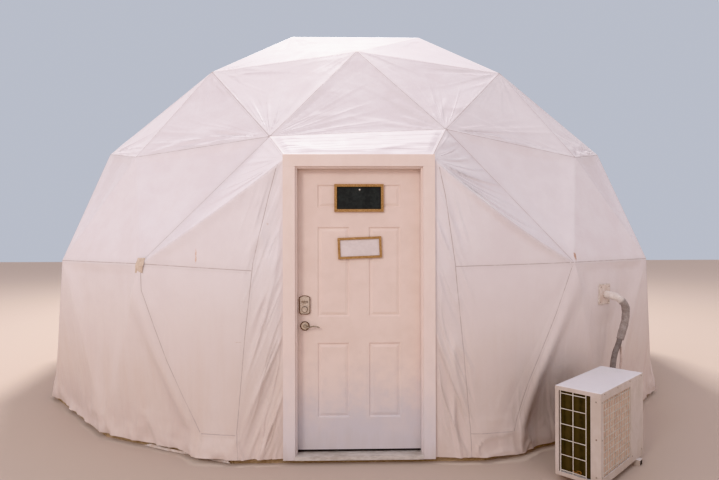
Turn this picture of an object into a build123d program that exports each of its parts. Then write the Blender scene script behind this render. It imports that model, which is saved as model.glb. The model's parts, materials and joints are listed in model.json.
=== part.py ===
from build123d import *
import math
import os

# Geodesic dome shelter with a welded fabric cover, a panelled entrance door and an outdoor unit.
# Millimetres. Origin on the ground under the crown. The door faces -Y and +Z is up.

# Dome sphere
DOME_RADIUS = 3500
CENTRE_RISE = 660          # sphere centre above the ground
FACES_ROUND = 5            # icosahedron faces round the crown

# How far the built rings stand off the sphere: outward, upward, turned away from mid face
CREST_OUT, CREST_UP = 30, -65
SHOULDER_OUT, SHOULDER_UP = -25, -10
DIMPLE_OUT, DIMPLE_UP = -20, -100
APEX_OUT, APEX_UP = 50, 50
EAVE_OUT, EAVE_UP = -30, -10
WAIST_OUT, WAIST_UP, WAIST_TURN = 105, 145, 2.75
WAIST_MID_OUT, WAIST_MID_UP = 10, 15
LEFT_EAVE_DROP = 60        # the left hub over the door has sunk
BASE_HUB_RISE = 20         # base hubs above the deck
DOOR_HUB_TURN = 3.1        # base hubs beside the door are spread this far

# Steel frame
STRUT_RADIUS = 16          # across the corners of the tube, halved
TAB_WIDTH, TAB_THICK = 26, 5
TAB_START, TAB_END = 32, 72
TUBE_START = 62
TAB_DROP = 9               # tab plane below the hub centre
PLATE_RADIUS, PLATE_THICK = 56, 5
BRACKET_WIDTH, BRACKET_HEIGHT, BRACKET_FOOT, BRACKET_THICK = 80, 62, 70, 5
TIE_HEEL = 12              # end of a tie behind the door header
TIE_INSET = 35             # tie in from the end of the header
TIE_TAB = 65

# Fabric cover
COVER_THICK = 3
COVER_LIFT = 17.5          # cover above the hub centres
WELD_GAP = 0.5             # between neighbouring panels
HEM_RISE = 28
HEM_OUT = 27               # cover foot outside the base hubs

# Timber deck
DECK_THICK = 38
DECK_OUT = 21              # sill boards outside the base hubs
SILL_WIDTH = 140
BOARD_GAP = 2              # between mitred ends

# Entrance
DOOR_PROUD = 58            # door trim in front of the base hubs beside it
LEAF_WIDTH, LEAF_HEIGHT, LEAF_THICK = 914, 2032, 44
LEAF_GAP = 5               # round the leaf
LEAF_SWING_ROOM = 5        # leaf behind the stops
SWEEP_HEIGHT = 10
SWEEP_GAP = 6              # under the sweep
THRESHOLD_THICK = 20
NOSE_OUT = 5               # threshold nosing in front of the trim
JAMB_THICK, JAMB_DEPTH = 12, 116
STOP_THICK, STOP_DEPTH = 20, 62
STUD_WIDTH = 38
STUD_GAP = 2               # shim space behind the jamb
TRIM_WIDTH, TRIM_THICK = 85, 19
TRIM_FOOT = 30             # side trims and nosing above the ground
REVEAL = 12                # trim back from the stop's face
SEAT = 0.3                 # between fitted pieces, and fabric to what carries it
TRIM_LAP = 20              # trim over the fabric's edge

# Six raised panels on each face of the leaf
STILE, MULLION = 157, 140
BOTTOM_RAIL, LOCK_RAIL, FRIEZE_RAIL, TOP_RAIL = 230, 190, 140, 127
LOWER_PANEL, TOP_PANEL = 535, 165
MOULD_DEPTH, MOULD_SLOPE = 7, 8
MOULD_FLAT, FIELD_SLOPE = 5, 18
FIELD_DROP = 1             # raised field below the face of the leaf

# Hinges
HINGE_HEIGHT = 102
HINGE_PLATE_THICK = 2
HINGE_PLATE_DEPTH = 36
KNUCKLE_RADIUS = 5.5
PIN_RADIUS, PIN_FIT = 2.5, 0.08
KNUCKLE_GAP = 0.4
HINGE_FOOT, HINGE_HEAD = 230, 200    # hinge middles in from the leaf's bottom and top

# Lever set
LEVER_HEIGHT = 890
LATCH_INSET = 66
ROSE_RADIUS, ROSE_THICK = 33, 9
LEVER_LENGTH, LEVER_STANDOFF = 108, 42
LEVER_WAVE = 8             # dip of the lever on each side of its crest
LEVER_HALF_HEIGHT, LEVER_HALF_DEPTH = 6, 7
NECK_RADIUS, SPINDLE_RADIUS = 11, 6
LOCK_BORE = 14

# Deadbolt with a keypad outside and a thumb-turn inside
LOCK_RISE = 120            # deadbolt above the lever
LOCK_WIDTH, LOCK_BELOW, LOCK_ABOVE, LOCK_THICK = 78, 36, 86, 14
GABLE_RISE, LOCK_CORNER = 14, 12
LOCK_RIM, LOCK_RECESS = 5, 2
KEY_RADIUS, KEY_THICK, KEY_PITCH, KEY_RISE = 3.5, 2, 10, 52
KEYS_ACROSS, KEYS_UP = 5, 2
TURN_RADIUS, TURN_THICK = 22, 14
GRIP_LENGTH, GRIP_WIDTH, GRIP_THICK, GRIP_TILT = 36, 12, 9, 25
INNER_LOCK_RADIUS = 27

# Bare signs on the leaf
SIGN_THICK, SIGN_BOARD_THICK, SIGN_GAP = 16, 9, 0.5
UPPER_SIGN = {"width": 356, "height": 200, "band": 19, "drop": 222, "aside": 0, "tilt": 0}
LOWER_SIGN = {"width": 316, "height": 154, "band": 17, "drop": 581, "aside": 5, "tilt": 2.2}

# Outdoor unit on the ground beside the dome
UNIT_BEARING, UNIT_CLEAR = 25.3, 450        # bearing from the door side, centre outside the base hubs
UNIT_FACING = 43.5                          # bearing of its fan side
UNIT_WIDTH, UNIT_DEPTH, UNIT_TOP = 755, 298, 623
FOOT_HEIGHT, FOOT_WIDTH, FOOT_OUT, FOOT_INSET, FOOT_SHEET = 40, 56, 26, 120, 4
LID_THICK, LID_ROUND = 28, 5
PAN_THICK = 25
SHEET = 4
PANEL_GAP = 0.4
FAN_POST, COIL_POST, REAR_POST = 40, 66, 25
FAN_BAY_END = 130          # fan bay's edge to the right of the unit's middle
RAIL_HEIGHT = 24           # over and under the guard
GUARD_BAR, GUARD_THICK = 4, 4
COIL_BAR = 7
COIL_THICK, COIL_BACK = 28, 20
FAN_RADIUS, FAN_HUB_RADIUS, FAN_DEPTH, FAN_BACK = 185, 45, 60, 70
BLADE_COUNT, BLADE_THICK = 3, 4
BLADE_ROOT, BLADE_TIP, ROOT_PITCH, TIP_PITCH = 60, 150, 40, 20

# Line set from the unit up to a plate on the cover
PLATE_SIDE, WALL_PLATE_THICK = 150, 8
PLATE_SHARES = (0.512, 0.194, 0.294)        # of the three corners of its panel
BUNDLE_RADIUS, HOSE_RADIUS, DRAIN_RADIUS = 29, 22, 9.5
BUNDLE_LEAD = 75           # straight out of the plate
BUNDLE_STEPS = [(96, -77, -40), (138, -60, -92), (145, -48, -171), (121, -45, -279), (96, -50, -352)]
SPLIT_GAP = 1
HOSE_ASIDE, DRAIN_ASIDE = -6, 18
HOSE_STEPS = [(635, 147, 659), (621, 153, 575), (600, 140, 430), (558, 98, 310)]
DRAIN_STEPS = [(699, 114, 690), (694, 118, 570), (664, 112, 390), (600, 88, 250)]
VALVE_BACK = 60            # valves behind the unit's middle
HOSE_VALVE_HEIGHT, DRAIN_VALVE_HEIGHT = 255, 175
VALVE_RADIUS, VALVE_LENGTH, NUT_RADIUS, NUT_LENGTH = 17, 30, 24, 26

SIDES = ["front", "right", "back_right", "back_left", "left"]
DECK_TOP = DECK_THICK
CENTRE = Vector(0, 0, CENTRE_RISE)
FACE_TURN = 360 / FACES_ROUND
UPPER_LATITUDE = math.atan(1 / 2)


# Icosahedron and its three-part subdivision
def ring_point(turn, radius, height):
    angle = math.radians(turn)
    return Vector(radius * math.sin(angle), -radius * math.cos(angle), height)


def upper(k):
    return ring_point(FACE_TURN * (k + 0.5), math.cos(UPPER_LATITUDE), math.sin(UPPER_LATITUDE))


def lower(k):
    return ring_point(FACE_TURN * k, math.cos(UPPER_LATITUDE), -math.sin(UPPER_LATITUDE))


CROWN = Vector(0, 0, 1)


def settle(weights, out=0, rise=0, turn=0):
    """Point on the sphere in the direction of a weighted sum, moved as the built ring stands."""
    total = Vector(0, 0, 0)
    for weight, corner in weights:
        total += corner * weight
    spot = total.normalized() * DOME_RADIUS
    radius = math.hypot(spot.X, spot.Y) + out
    angle = math.degrees(math.atan2(spot.X, -spot.Y)) + turn
    return ring_point(angle, radius, spot.Z + CENTRE_RISE + rise)


def dome_hubs():
    """Every hub of a three-frequency dome cut at five ninths, by ring and face."""
    hubs = {("crown", 0): settle([(1, CROWN)])}
    base = DECK_TOP + BASE_HUB_RISE
    for k in range(FACES_ROUND):
        before, this, after = upper(k - 1), upper(k), upper(k + 1)
        foot, next_foot = lower(k), lower(k + 1)
        hubs["crest", k] = settle([(2, CROWN), (1, this)], CREST_OUT, CREST_UP)
        hubs["shoulder", k] = settle([(1, CROWN), (2, this)], SHOULDER_OUT, SHOULDER_UP)
        hubs["dimple", k] = settle([(1, CROWN), (1, this), (1, before)], DIMPLE_OUT, DIMPLE_UP)
        hubs["apex", k] = settle([(1, this)], APEX_OUT, APEX_UP)
        hubs["eave_a", k] = settle([(2, this), (1, before)], EAVE_OUT, EAVE_UP)
        hubs["eave_b", k] = settle([(2, this), (1, after)], EAVE_OUT, EAVE_UP)
        hubs["waist_a", k] = settle([(2, this), (1, foot)], WAIST_OUT, WAIST_UP, WAIST_TURN)
        hubs["waist_b", k] = settle([(2, this), (1, next_foot)], WAIST_OUT, WAIST_UP, -WAIST_TURN)
        hubs["waist_m", k] = settle([(1, this), (1, before), (1, foot)], WAIST_MID_OUT, WAIST_MID_UP)
        for name, parts in (("base_a", [(1, this), (2, foot)]),
                            ("base_b", [(1, this), (2, next_foot)]),
                            ("base_m", [(1, this), (1, foot), (1, next_foot)])):
            spot = settle(parts)
            hubs[name, k] = Vector(spot.X, spot.Y, base)
    left = hubs["eave_b", 4]
    hubs["eave_b", 4] = Vector(left.X, left.Y, left.Z - LEFT_EAVE_DROP)
    for key, way in ((("base_a", 0), 1), (("base_b", 4), -1)):
        hubs[key] = hubs[key].rotate(Axis.Z, way * DOOR_HUB_TURN)
    return hubs


def roof_panels(k):
    j = (k - 1) % FACES_ROUND
    crown, dimple = ("crown", 0), ("dimple", k)
    return [(crown, ("crest", j), ("crest", k)),
            (("crest", j), ("shoulder", j), dimple),
            (("crest", j), dimple, ("crest", k)),
            (("crest", k), dimple, ("shoulder", k)),
            (("shoulder", j), ("apex", j), ("eave_b", j)),
            (("shoulder", j), ("eave_b", j), dimple),
            (dimple, ("eave_b", j), ("eave_a", k)),
            (dimple, ("eave_a", k), ("shoulder", k)),
            (("shoulder", k), ("eave_a", k), ("apex", k))]


def wall_panels(k):
    j = (k - 1) % FACES_ROUND
    mid, foot = ("waist_m", k), ("base_m", k)
    return [(("apex", j), ("waist_b", j), ("eave_b", j)),
            (("eave_b", j), ("waist_b", j), mid),
            (("eave_b", j), mid, ("eave_a", k)),
            (("eave_a", k), mid, ("waist_a", k)),
            (("eave_a", k), ("waist_a", k), ("apex", k)),
            (("apex", k), ("waist_a", k), ("waist_b", k)),
            (("waist_b", j), ("base_b", j), mid),
            (mid, ("base_b", j), ("base_a", k)),
            (mid, ("base_a", k), ("waist_a", k)),
            (("waist_a", k), ("base_a", k), foot),
            (("waist_a", k), foot, ("waist_b", k)),
            (("waist_b", k), foot, ("base_b", k))]


DOORWAY_HUB = ("waist_m", 0)
PLATE_PANEL = (("waist_a", 0), ("base_m", 0), ("waist_b", 0))
WHOLE_DOME = dome_hubs()
HUBS = {key: spot for key, spot in WHOLE_DOME.items() if key != DOORWAY_HUB}
ALL_PANELS = [panel for k in range(FACES_ROUND) for panel in roof_panels(k) + wall_panels(k)]
RING_OF = {"crown": "crown", "crest": "crest", "shoulder": "upper", "dimple": "upper",
           "apex": "eave", "eave_a": "eave", "eave_b": "eave",
           "waist_a": "waist", "waist_b": "waist", "waist_m": "waist",
           "base_a": "base", "base_b": "base", "base_m": "base"}
BASE_HUBS = [key for key in HUBS if RING_OF[key[0]] == "base"]
BASE_REACH = math.hypot(HUBS["base_m", 0].X, HUBS["base_m", 0].Y)


def standing(panels):
    return [panel for panel in panels if DOORWAY_HUB not in panel]


def all_struts():
    edges = set()
    for panel in standing(ALL_PANELS):
        for i in range(3):
            edges.add(tuple(sorted((panel[i], panel[i - 1]))))
    return sorted(edges)


NEIGHBOURS = {key: [] for key in HUBS}
for first, second in all_struts():
    NEIGHBOURS[first].append(second)
    NEIGHBOURS[second].append(first)


def facing(panel):
    """Outward unit normal of a panel through its three hubs."""
    first, second, third = [WHOLE_DOME[key] for key in panel]
    normal = (second - first).cross(third - first).normalized()
    return normal if normal.dot(first - CENTRE) > 0 else -normal


def hub_normal(key):
    """Outward direction at a hub, shared evenly by the panels that meet there."""
    spot = HUBS[key]
    if key in BASE_HUBS:
        return Vector(spot.X, spot.Y, 0).normalized()
    total = Vector(0, 0, 0)
    for panel in ALL_PANELS:
        if key in panel:
            total += facing(panel)
    return total.normalized()


def block(x0, x1, y0, y1, z0, z1):
    return Pos((x0 + x1) / 2, (y0 + y1) / 2, (z0 + z1) / 2) * Box(
        abs(x1 - x0), abs(y1 - y0), abs(z1 - z0))


# Steel frame: tubes with pressed end tabs, bolted on flat hub plates
def tab_spot(key, toward, reach):
    """Point in the middle of a tab, out from the hub's axis towards another hub."""
    normal = hub_normal(key)
    along = toward - normal * toward.dot(normal)
    return HUBS[key] + along.normalized() * reach - normal * TAB_DROP


def tab(key, toward):
    """Flattened tube end lying in the hub's tangent plane, on top of the hub plate."""
    inner, outer = tab_spot(key, toward, TAB_START), tab_spot(key, toward, TAB_END)
    plane = Plane(origin=(inner + outer) * 0.5, x_dir=outer - inner, z_dir=hub_normal(key))
    return plane * Box(TAB_END - TAB_START, TAB_WIDTH, TAB_THICK)


def tube(start, end, begin, finish):
    """Six-sided tube on the line between two points, kept back from each of them."""
    run = (end - start).normalized()
    outward = ((start + end) * 0.5 - CENTRE).normalized()
    plane = Plane(origin=start + run * begin, x_dir=outward - run * outward.dot(run), z_dir=run)
    return extrude(plane * RegularPolygon(STRUT_RADIUS, 6), (end - start).length - begin - finish)


def strut(first, second):
    start, end = HUBS[first], HUBS[second]
    run = (end - start).normalized()
    bar = tube(start, end, TUBE_START, TUBE_START)
    return (bar + tab(first, run) + tab(second, -run)).solid()


def hub_plate(key, sides):
    normal = hub_normal(key)
    top = HUBS[key] - normal * (TAB_DROP + TAB_THICK / 2)
    plane = Plane(origin=top, z_dir=-normal)
    return extrude(plane * RegularPolygon(PLATE_RADIUS, sides), PLATE_THICK).solid()


def base_bracket(key):
    """Angle bracket bolted to the sill boards, its upright leg behind the strut tabs."""
    spot, normal = HUBS[key], hub_normal(key)
    plane = Plane(origin=(spot.X, spot.Y, DECK_TOP), x_dir=normal, z_dir=(0, 0, 1))
    back = -(TAB_DROP + TAB_THICK / 2)
    leg = Pos(back - BRACKET_THICK / 2, 0, BRACKET_HEIGHT / 2) * Box(
        BRACKET_THICK, BRACKET_WIDTH, BRACKET_HEIGHT)
    foot = Pos(back - BRACKET_FOOT / 2, 0, BRACKET_THICK / 2) * Box(
        BRACKET_FOOT, BRACKET_WIDTH, BRACKET_THICK)
    return (plane * (leg + foot)).solid()


# Timber: mitred sill boards under the base ring, and the deck inside them
def sill_outline():
    corners = [HUBS[key] + hub_normal(key) * DECK_OUT for key in BASE_HUBS]
    corners.sort(key=lambda spot: math.atan2(spot.X, -spot.Y))
    return [Vector(spot.X, spot.Y, 0) for spot in corners]


def inset(corners, depth):
    """The same polygon with every side moved inwards."""
    moved = []
    for i, corner in enumerate(corners):
        before = (corner - corners[i - 1]).normalized().rotate(Axis.Z, 90)
        after = (corners[(i + 1) % len(corners)] - corner).normalized().rotate(Axis.Z, 90)
        moved.append(corner + (before + after) * (depth / (1 + before.dot(after))))
    return moved


def sill_board(start, end, inner_start, inner_end):
    trim = (end - start).normalized() * (BOARD_GAP / 2)
    corners = [start + trim, end - trim, inner_end - trim, inner_start + trim]
    return extrude(make_face(Polyline(corners, close=True)), DECK_THICK).solid()


# Fabric cover: flat welded panels over the frame
def cover_point(key):
    """Inner face of the cover over a hub; at the base it drops to the hem."""
    spot = HUBS[key]
    if key in BASE_HUBS:
        out = hub_normal(key) * HEM_OUT
        return Vector(spot.X + out.X, spot.Y + out.Y, HEM_RISE)
    return spot + hub_normal(key) * COVER_LIFT


def panel_solid(corners):
    """Flat triangular panel. The outer face is the inner one enlarged from the dome's centre."""
    middle = (corners[0] + corners[1] + corners[2]) * (1 / 3)
    longest = max((corners[i] - corners[i - 1]).length for i in range(3))
    shrink = 1 - WELD_GAP / 2 / (longest / 4)
    inner = [middle + (corner - middle) * shrink for corner in corners]
    growth = 1 + COVER_THICK / DOME_RADIUS
    outer = [CENTRE + (corner - CENTRE) * growth for corner in inner]
    faces = [Face(Wire.make_polygon(inner)), Face(Wire.make_polygon(outer))]
    for i in range(3):
        faces.append(Face(Wire.make_polygon([inner[i - 1], inner[i], outer[i], outer[i - 1]])))
    return Solid(Shell(faces))


def cover_node(panels):
    return Compound([panel_solid([cover_point(key) for key in panel]) for panel in panels])


# Entrance: portal panels, timber buck, jambs, trim and leaf
DOOR_FACE = -HUBS["base_a", 0].Y + DOOR_PROUD
TRIM_BACK = -(DOOR_FACE - TRIM_THICK)
STOP_FACE = LEAF_WIDTH / 2 + LEAF_GAP - STOP_THICK
JAMB_FACE = LEAF_WIDTH / 2 + LEAF_GAP
JAMB_OUTER = JAMB_FACE + JAMB_THICK
STUD_INNER = JAMB_OUTER + STUD_GAP
STUD_OUTER = STUD_INNER + STUD_WIDTH
TRIM_INNER = STOP_FACE + REVEAL
TRIM_OUTER = TRIM_INNER + TRIM_WIDTH
THRESHOLD_TOP = DECK_TOP + THRESHOLD_THICK
LEAF_BOTTOM = THRESHOLD_TOP + SWEEP_GAP + SWEEP_HEIGHT
LEAF_TOP = LEAF_BOTTOM + LEAF_HEIGHT
HEAD_FACE = LEAF_TOP + LEAF_GAP
HEAD_STOP = HEAD_FACE - STOP_THICK
HEAD_TOP = HEAD_FACE + JAMB_THICK
STUD_TOP = HEAD_TOP + STUD_GAP
HEADER_TOP = STUD_TOP + STUD_WIDTH
TRIM_HEAD = HEAD_STOP + REVEAL
TRIM_TOP = TRIM_HEAD + TRIM_WIDTH
FABRIC_BACK = TRIM_BACK + COVER_THICK + 2 * SEAT
JAMB_FRONT = TRIM_BACK
JAMB_BACK = JAMB_FRONT + JAMB_DEPTH
STOP_BACK = JAMB_FRONT + STOP_DEPTH
LEAF_FRONT = STOP_BACK + LEAF_SWING_ROOM
LEAF_BACK = LEAF_FRONT + LEAF_THICK
HINGE_X = JAMB_FACE - LEAF_GAP / 2
HINGE_Y = JAMB_BACK + KNUCKLE_RADIUS + KNUCKLE_GAP
HINGE_MIDDLES = [LEAF_BOTTOM + HINGE_FOOT,
                 (LEAF_BOTTOM + HINGE_FOOT + LEAF_TOP - HINGE_HEAD) / 2,
                 LEAF_TOP - HINGE_HEAD]
LATCH_X = -LEAF_WIDTH / 2 + LATCH_INSET
LEVER_Z = LEAF_BOTTOM + LEVER_HEIGHT
LOCK_Z = LEVER_Z + LOCK_RISE


def door_corner(way, height):
    """Inner face of the cover where it is clamped behind the door trim."""
    growth = 1 + COVER_THICK / DOME_RADIUS
    return Vector(way * (TRIM_OUTER - TRIM_LAP), (TRIM_BACK + SEAT) / growth, height)


def portal_roof():
    left, right = cover_point(("eave_b", 4)), cover_point(("eave_a", 0))
    head = TRIM_TOP - TRIM_LAP
    return Compound([panel_solid([left, door_corner(-1, head), door_corner(1, head)]),
                     panel_solid([left, door_corner(1, head), right])])


def portal_cheek(way):
    if way > 0:
        keys = [("eave_a", 0), ("waist_a", 0), ("base_a", 0)]
    else:
        keys = [("eave_b", 4), ("waist_b", 4), ("base_b", 4)]
    head = door_corner(way, TRIM_TOP - TRIM_LAP)
    foot = door_corner(way, HEM_RISE)
    eave, waist, base = [cover_point(key) for key in keys]
    return Compound([panel_solid([eave, waist, head]),
                     panel_solid([head, waist, base]),
                     panel_solid([head, base, foot])])


def portal_tie(key, way):
    """Tube from a hub over the door down to the header, its flat end lying on top of the timber."""
    heel = Vector(way * (STUD_OUTER - TIE_INSET), JAMB_BACK + TIE_HEEL, HEADER_TOP + TAB_THICK / 2)
    flat = block(heel.X - TAB_WIDTH / 2, heel.X + TAB_WIDTH / 2, heel.Y - TIE_TAB, heel.Y,
                 HEADER_TOP, HEADER_TOP + TAB_THICK)
    run = heel - HUBS[key]
    bar = tube(tab_spot(key, run, TUBE_START), heel, 0, 0)
    return (bar + tab(key, run) + flat).solid()


def jambs():
    """Side and head linings with a stop strip on each."""
    pieces = [block(-JAMB_OUTER, JAMB_OUTER, JAMB_FRONT, JAMB_BACK, HEAD_FACE, HEAD_TOP),
              block(SEAT - STOP_FACE, STOP_FACE - SEAT, JAMB_FRONT, STOP_BACK, HEAD_STOP, HEAD_FACE - SEAT)]
    for way in (-1, 1):
        pieces.append(block(way * JAMB_FACE, way * JAMB_OUTER, JAMB_FRONT, JAMB_BACK,
                            DECK_TOP, HEAD_FACE - SEAT))
        pieces.append(block(way * STOP_FACE, way * (JAMB_FACE - SEAT), JAMB_FRONT, STOP_BACK,
                            THRESHOLD_TOP, HEAD_FACE - SEAT))
    return Compound([piece.solid() for piece in pieces])


def buck():
    """Rough timber studs and header, set back by the thickness of the fabric."""
    pieces = [block(way * STUD_INNER, way * STUD_OUTER, FABRIC_BACK, JAMB_BACK, DECK_TOP, STUD_TOP - SEAT)
              for way in (-1, 1)]
    pieces.append(block(-STUD_OUTER, STUD_OUTER, FABRIC_BACK, JAMB_BACK, STUD_TOP, HEADER_TOP))
    return Compound([piece.solid() for piece in pieces])


def trim():
    pieces = [block(way * TRIM_INNER, way * TRIM_OUTER, -DOOR_FACE, TRIM_BACK, TRIM_FOOT, TRIM_HEAD - SEAT)
              for way in (-1, 1)]
    pieces.append(block(-TRIM_OUTER, TRIM_OUTER, -DOOR_FACE, TRIM_BACK, TRIM_HEAD, TRIM_TOP))
    return Compound([piece.solid() for piece in pieces])


def threshold():
    nose = TRIM_INNER - SEAT
    sill = block(-JAMB_FACE, JAMB_FACE, TRIM_BACK + SEAT, JAMB_BACK, DECK_TOP, THRESHOLD_TOP)
    nosing = block(-nose, nose, -DOOR_FACE - NOSE_OUT, TRIM_BACK + SEAT, TRIM_FOOT, THRESHOLD_TOP)
    return (sill + nosing).solid()


def panel_layout():
    """Middle, width and height of the six panels, measured on the leaf's face."""
    width = (LEAF_WIDTH - 2 * STILE - MULLION) / 2
    middle_panel = LEAF_HEIGHT - BOTTOM_RAIL - LOWER_PANEL - LOCK_RAIL - FRIEZE_RAIL - TOP_PANEL - TOP_RAIL
    layout = []
    low = LEAF_BOTTOM + BOTTOM_RAIL
    for height, rail in ((LOWER_PANEL, LOCK_RAIL), (middle_panel, FRIEZE_RAIL), (TOP_PANEL, TOP_RAIL)):
        for way in (-1, 1):
            layout.append((way * (MULLION + width) / 2, low + height / 2, width, height))
        low += height + rail
    return layout


def moulding(face, out, x, z, width, height):
    """Groove round one raised field, as the tool that cuts it into a face of the leaf."""
    def level(depth, inset_by):
        plane = Plane(origin=(x, face - out * depth, z), x_dir=(1, 0, 0), z_dir=(0, out, 0))
        return plane * Rectangle(width - 2 * inset_by, height - 2 * inset_by)

    floor_edge = MOULD_SLOPE + MOULD_FLAT
    groove = loft([level(0, 0), level(MOULD_DEPTH, MOULD_SLOPE)], ruled=True)
    field = loft([level(MOULD_DEPTH, floor_edge), level(FIELD_DROP, floor_edge + FIELD_SLOPE)], ruled=True)
    return groove - field


def leaf_faces():
    return ((LEAF_FRONT, -1), (LEAF_BACK, 1))


def door_leaf():
    leaf = block(-LEAF_WIDTH / 2, LEAF_WIDTH / 2, LEAF_FRONT, LEAF_BACK, LEAF_BOTTOM, LEAF_TOP)
    for face, out in leaf_faces():
        for x, z, width, height in panel_layout():
            leaf -= moulding(face, out, x, z, width, height)
    axis = Plane(origin=(LATCH_X, LEAF_FRONT, LEVER_Z), z_dir=(0, 1, 0))
    return (leaf - extrude(axis * Circle(LOCK_BORE), LEAF_THICK)).solid()


# Lever set and deadbolt
def face_plane(face, out, height, tilt=0):
    """Plane on a face of the leaf over the latch line, its normal pointing away from the leaf."""
    lean = math.radians(tilt)
    return Plane(origin=(LATCH_X, face, height), x_dir=(math.cos(lean), 0, math.sin(lean)), z_dir=(0, out, 0))


def rose(face, out):
    ring = Circle(ROSE_RADIUS) - Circle(NECK_RADIUS + SEAT)
    return extrude(face_plane(face, out, LEVER_Z) * ring, ROSE_THICK).solid()


def lever_arm(face, out):
    """Wave-shaped arm: oval sections that dip, crest and dip again towards the tip."""
    middle = face + out * (LEVER_STANDOFF - LEVER_HALF_DEPTH)
    sections = []
    for share, lift, size in ((0, 0, 1.25), (0.25, -0.8, 1), (0.6, 0.1, 0.9), (0.85, -0.4, 0.8), (1, -1, 0.6)):
        spot = Vector(LATCH_X + share * LEVER_LENGTH, middle, LEVER_Z + lift * LEVER_WAVE)
        plane = Plane(origin=spot, x_dir=(0, 1, 0), z_dir=(1, 0, 0))
        sections.append(plane * Ellipse(LEVER_HALF_DEPTH * size, LEVER_HALF_HEIGHT * size))
    return loft(sections)


def lever_set():
    """Outer and inner lever on one spindle through the leaf."""
    axis = Plane(origin=(LATCH_X, LEAF_FRONT, LEVER_Z), z_dir=(0, 1, 0))
    piece = extrude(axis * Circle(SPINDLE_RADIUS), LEAF_THICK)
    for face, out in leaf_faces():
        piece += extrude(face_plane(face, out, LEVER_Z) * Circle(NECK_RADIUS), LEVER_STANDOFF)
        piece += lever_arm(face, out)
    return piece.solid()


def turn_grip(plane, lift):
    """Round boss with a grip across it."""
    boss = extrude(plane.offset(lift) * Circle(TURN_RADIUS), TURN_THICK)
    grip = plane.offset(lift + TURN_THICK) * SlotOverall(GRIP_LENGTH, GRIP_WIDTH)
    return boss + extrude(grip, GRIP_THICK)


def keypad():
    """Plate with a gable head, a sunk field with two rows of keys, and a turn grip."""
    plane = face_plane(LEAF_FRONT, -1, LOCK_Z)
    half, corner = LOCK_WIDTH / 2, LOCK_CORNER
    foot = Polyline((half, LOCK_ABOVE), (half, corner - LOCK_BELOW), (half - corner, -LOCK_BELOW),
                    (corner - half, -LOCK_BELOW), (-half, corner - LOCK_BELOW), (-half, LOCK_ABOVE))
    gable = ThreePointArc((-half, LOCK_ABOVE), (0, LOCK_ABOVE + GABLE_RISE), (half, LOCK_ABOVE))
    outline = make_face(foot + gable)
    field = offset(outline, -LOCK_RIM)
    plate = extrude(plane * outline, LOCK_THICK)
    plate -= extrude(plane.offset(LOCK_THICK - LOCK_RECESS) * field, LOCK_RECESS)
    for place in GridLocations(KEY_PITCH, KEY_PITCH, KEYS_ACROSS, KEYS_UP):
        key = plane.offset(LOCK_THICK - LOCK_RECESS) * Pos(0, KEY_RISE) * place * Circle(KEY_RADIUS)
        plate += extrude(key, KEY_THICK)
    tilted = face_plane(LEAF_FRONT, -1, LOCK_Z, GRIP_TILT + 90)
    return (plate + turn_grip(tilted, LOCK_THICK - LOCK_RECESS)).solid()


def inner_lock():
    plane = face_plane(LEAF_BACK, 1, LOCK_Z, 90)
    disc = extrude(plane * Circle(INNER_LOCK_RADIUS), ROSE_THICK)
    return (disc + turn_grip(plane, ROSE_THICK)).solid()


def sign_plane(sign):
    lean = math.radians(sign["tilt"])
    origin = (sign["aside"], LEAF_FRONT, LEAF_TOP - sign["drop"])
    return Plane(origin=origin, x_dir=(math.cos(lean), 0, math.sin(lean)), z_dir=(0, -1, 0))


def sign_frame(sign):
    inside = Rectangle(sign["width"] - 2 * sign["band"], sign["height"] - 2 * sign["band"])
    ring = Rectangle(sign["width"], sign["height"]) - inside
    return extrude(sign_plane(sign) * ring, SIGN_THICK).solid()


def sign_board(sign):
    margin = 2 * (sign["band"] + SIGN_GAP)
    board = Rectangle(sign["width"] - margin, sign["height"] - margin)
    return extrude(sign_plane(sign) * board, SIGN_BOARD_THICK).solid()


# Butt hinges: door knuckle between two jamb knuckles that hold the pin
def hinge_round(low, high, radius):
    plane = Plane(origin=(HINGE_X, HINGE_Y, low), z_dir=(0, 0, 1))
    return extrude(plane * Circle(radius), high - low)


def hinge_plate(side, low, high, web_low, web_high):
    """Plate in the gap between leaf and jamb, with a web to its own knuckle."""
    face = LEAF_WIDTH / 2 if side < 0 else JAMB_FACE - HINGE_PLATE_THICK
    edge = HINGE_Y - KNUCKLE_RADIUS - KNUCKLE_GAP
    plate = block(face, face + HINGE_PLATE_THICK, edge - HINGE_PLATE_DEPTH, edge, low, high)
    return plate + block(face, face + HINGE_PLATE_THICK, edge, HINGE_Y, web_low, web_high)


def hinge_spans(middle):
    low = middle - HINGE_HEIGHT / 2
    third = HINGE_HEIGHT / 3
    return low, low + third, low + 2 * third, low + HINGE_HEIGHT


def door_hinge(middle):
    low, first, second, high = hinge_spans(middle)
    first, second = first + KNUCKLE_GAP, second - KNUCKLE_GAP
    piece = hinge_plate(-1, low, high, first, second) + hinge_round(first, second, KNUCKLE_RADIUS)
    return (piece - hinge_round(first, second, PIN_RADIUS + PIN_FIT)).solid()


def jamb_hinge(middle):
    low, first, second, high = hinge_spans(middle)
    piece = hinge_plate(1, low, high, low, first) + hinge_plate(1, low, high, second, high)
    piece += hinge_round(low, first, KNUCKLE_RADIUS) + hinge_round(second, high, KNUCKLE_RADIUS)
    return (piece + hinge_round(low, high, PIN_RADIUS)).solid()


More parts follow.
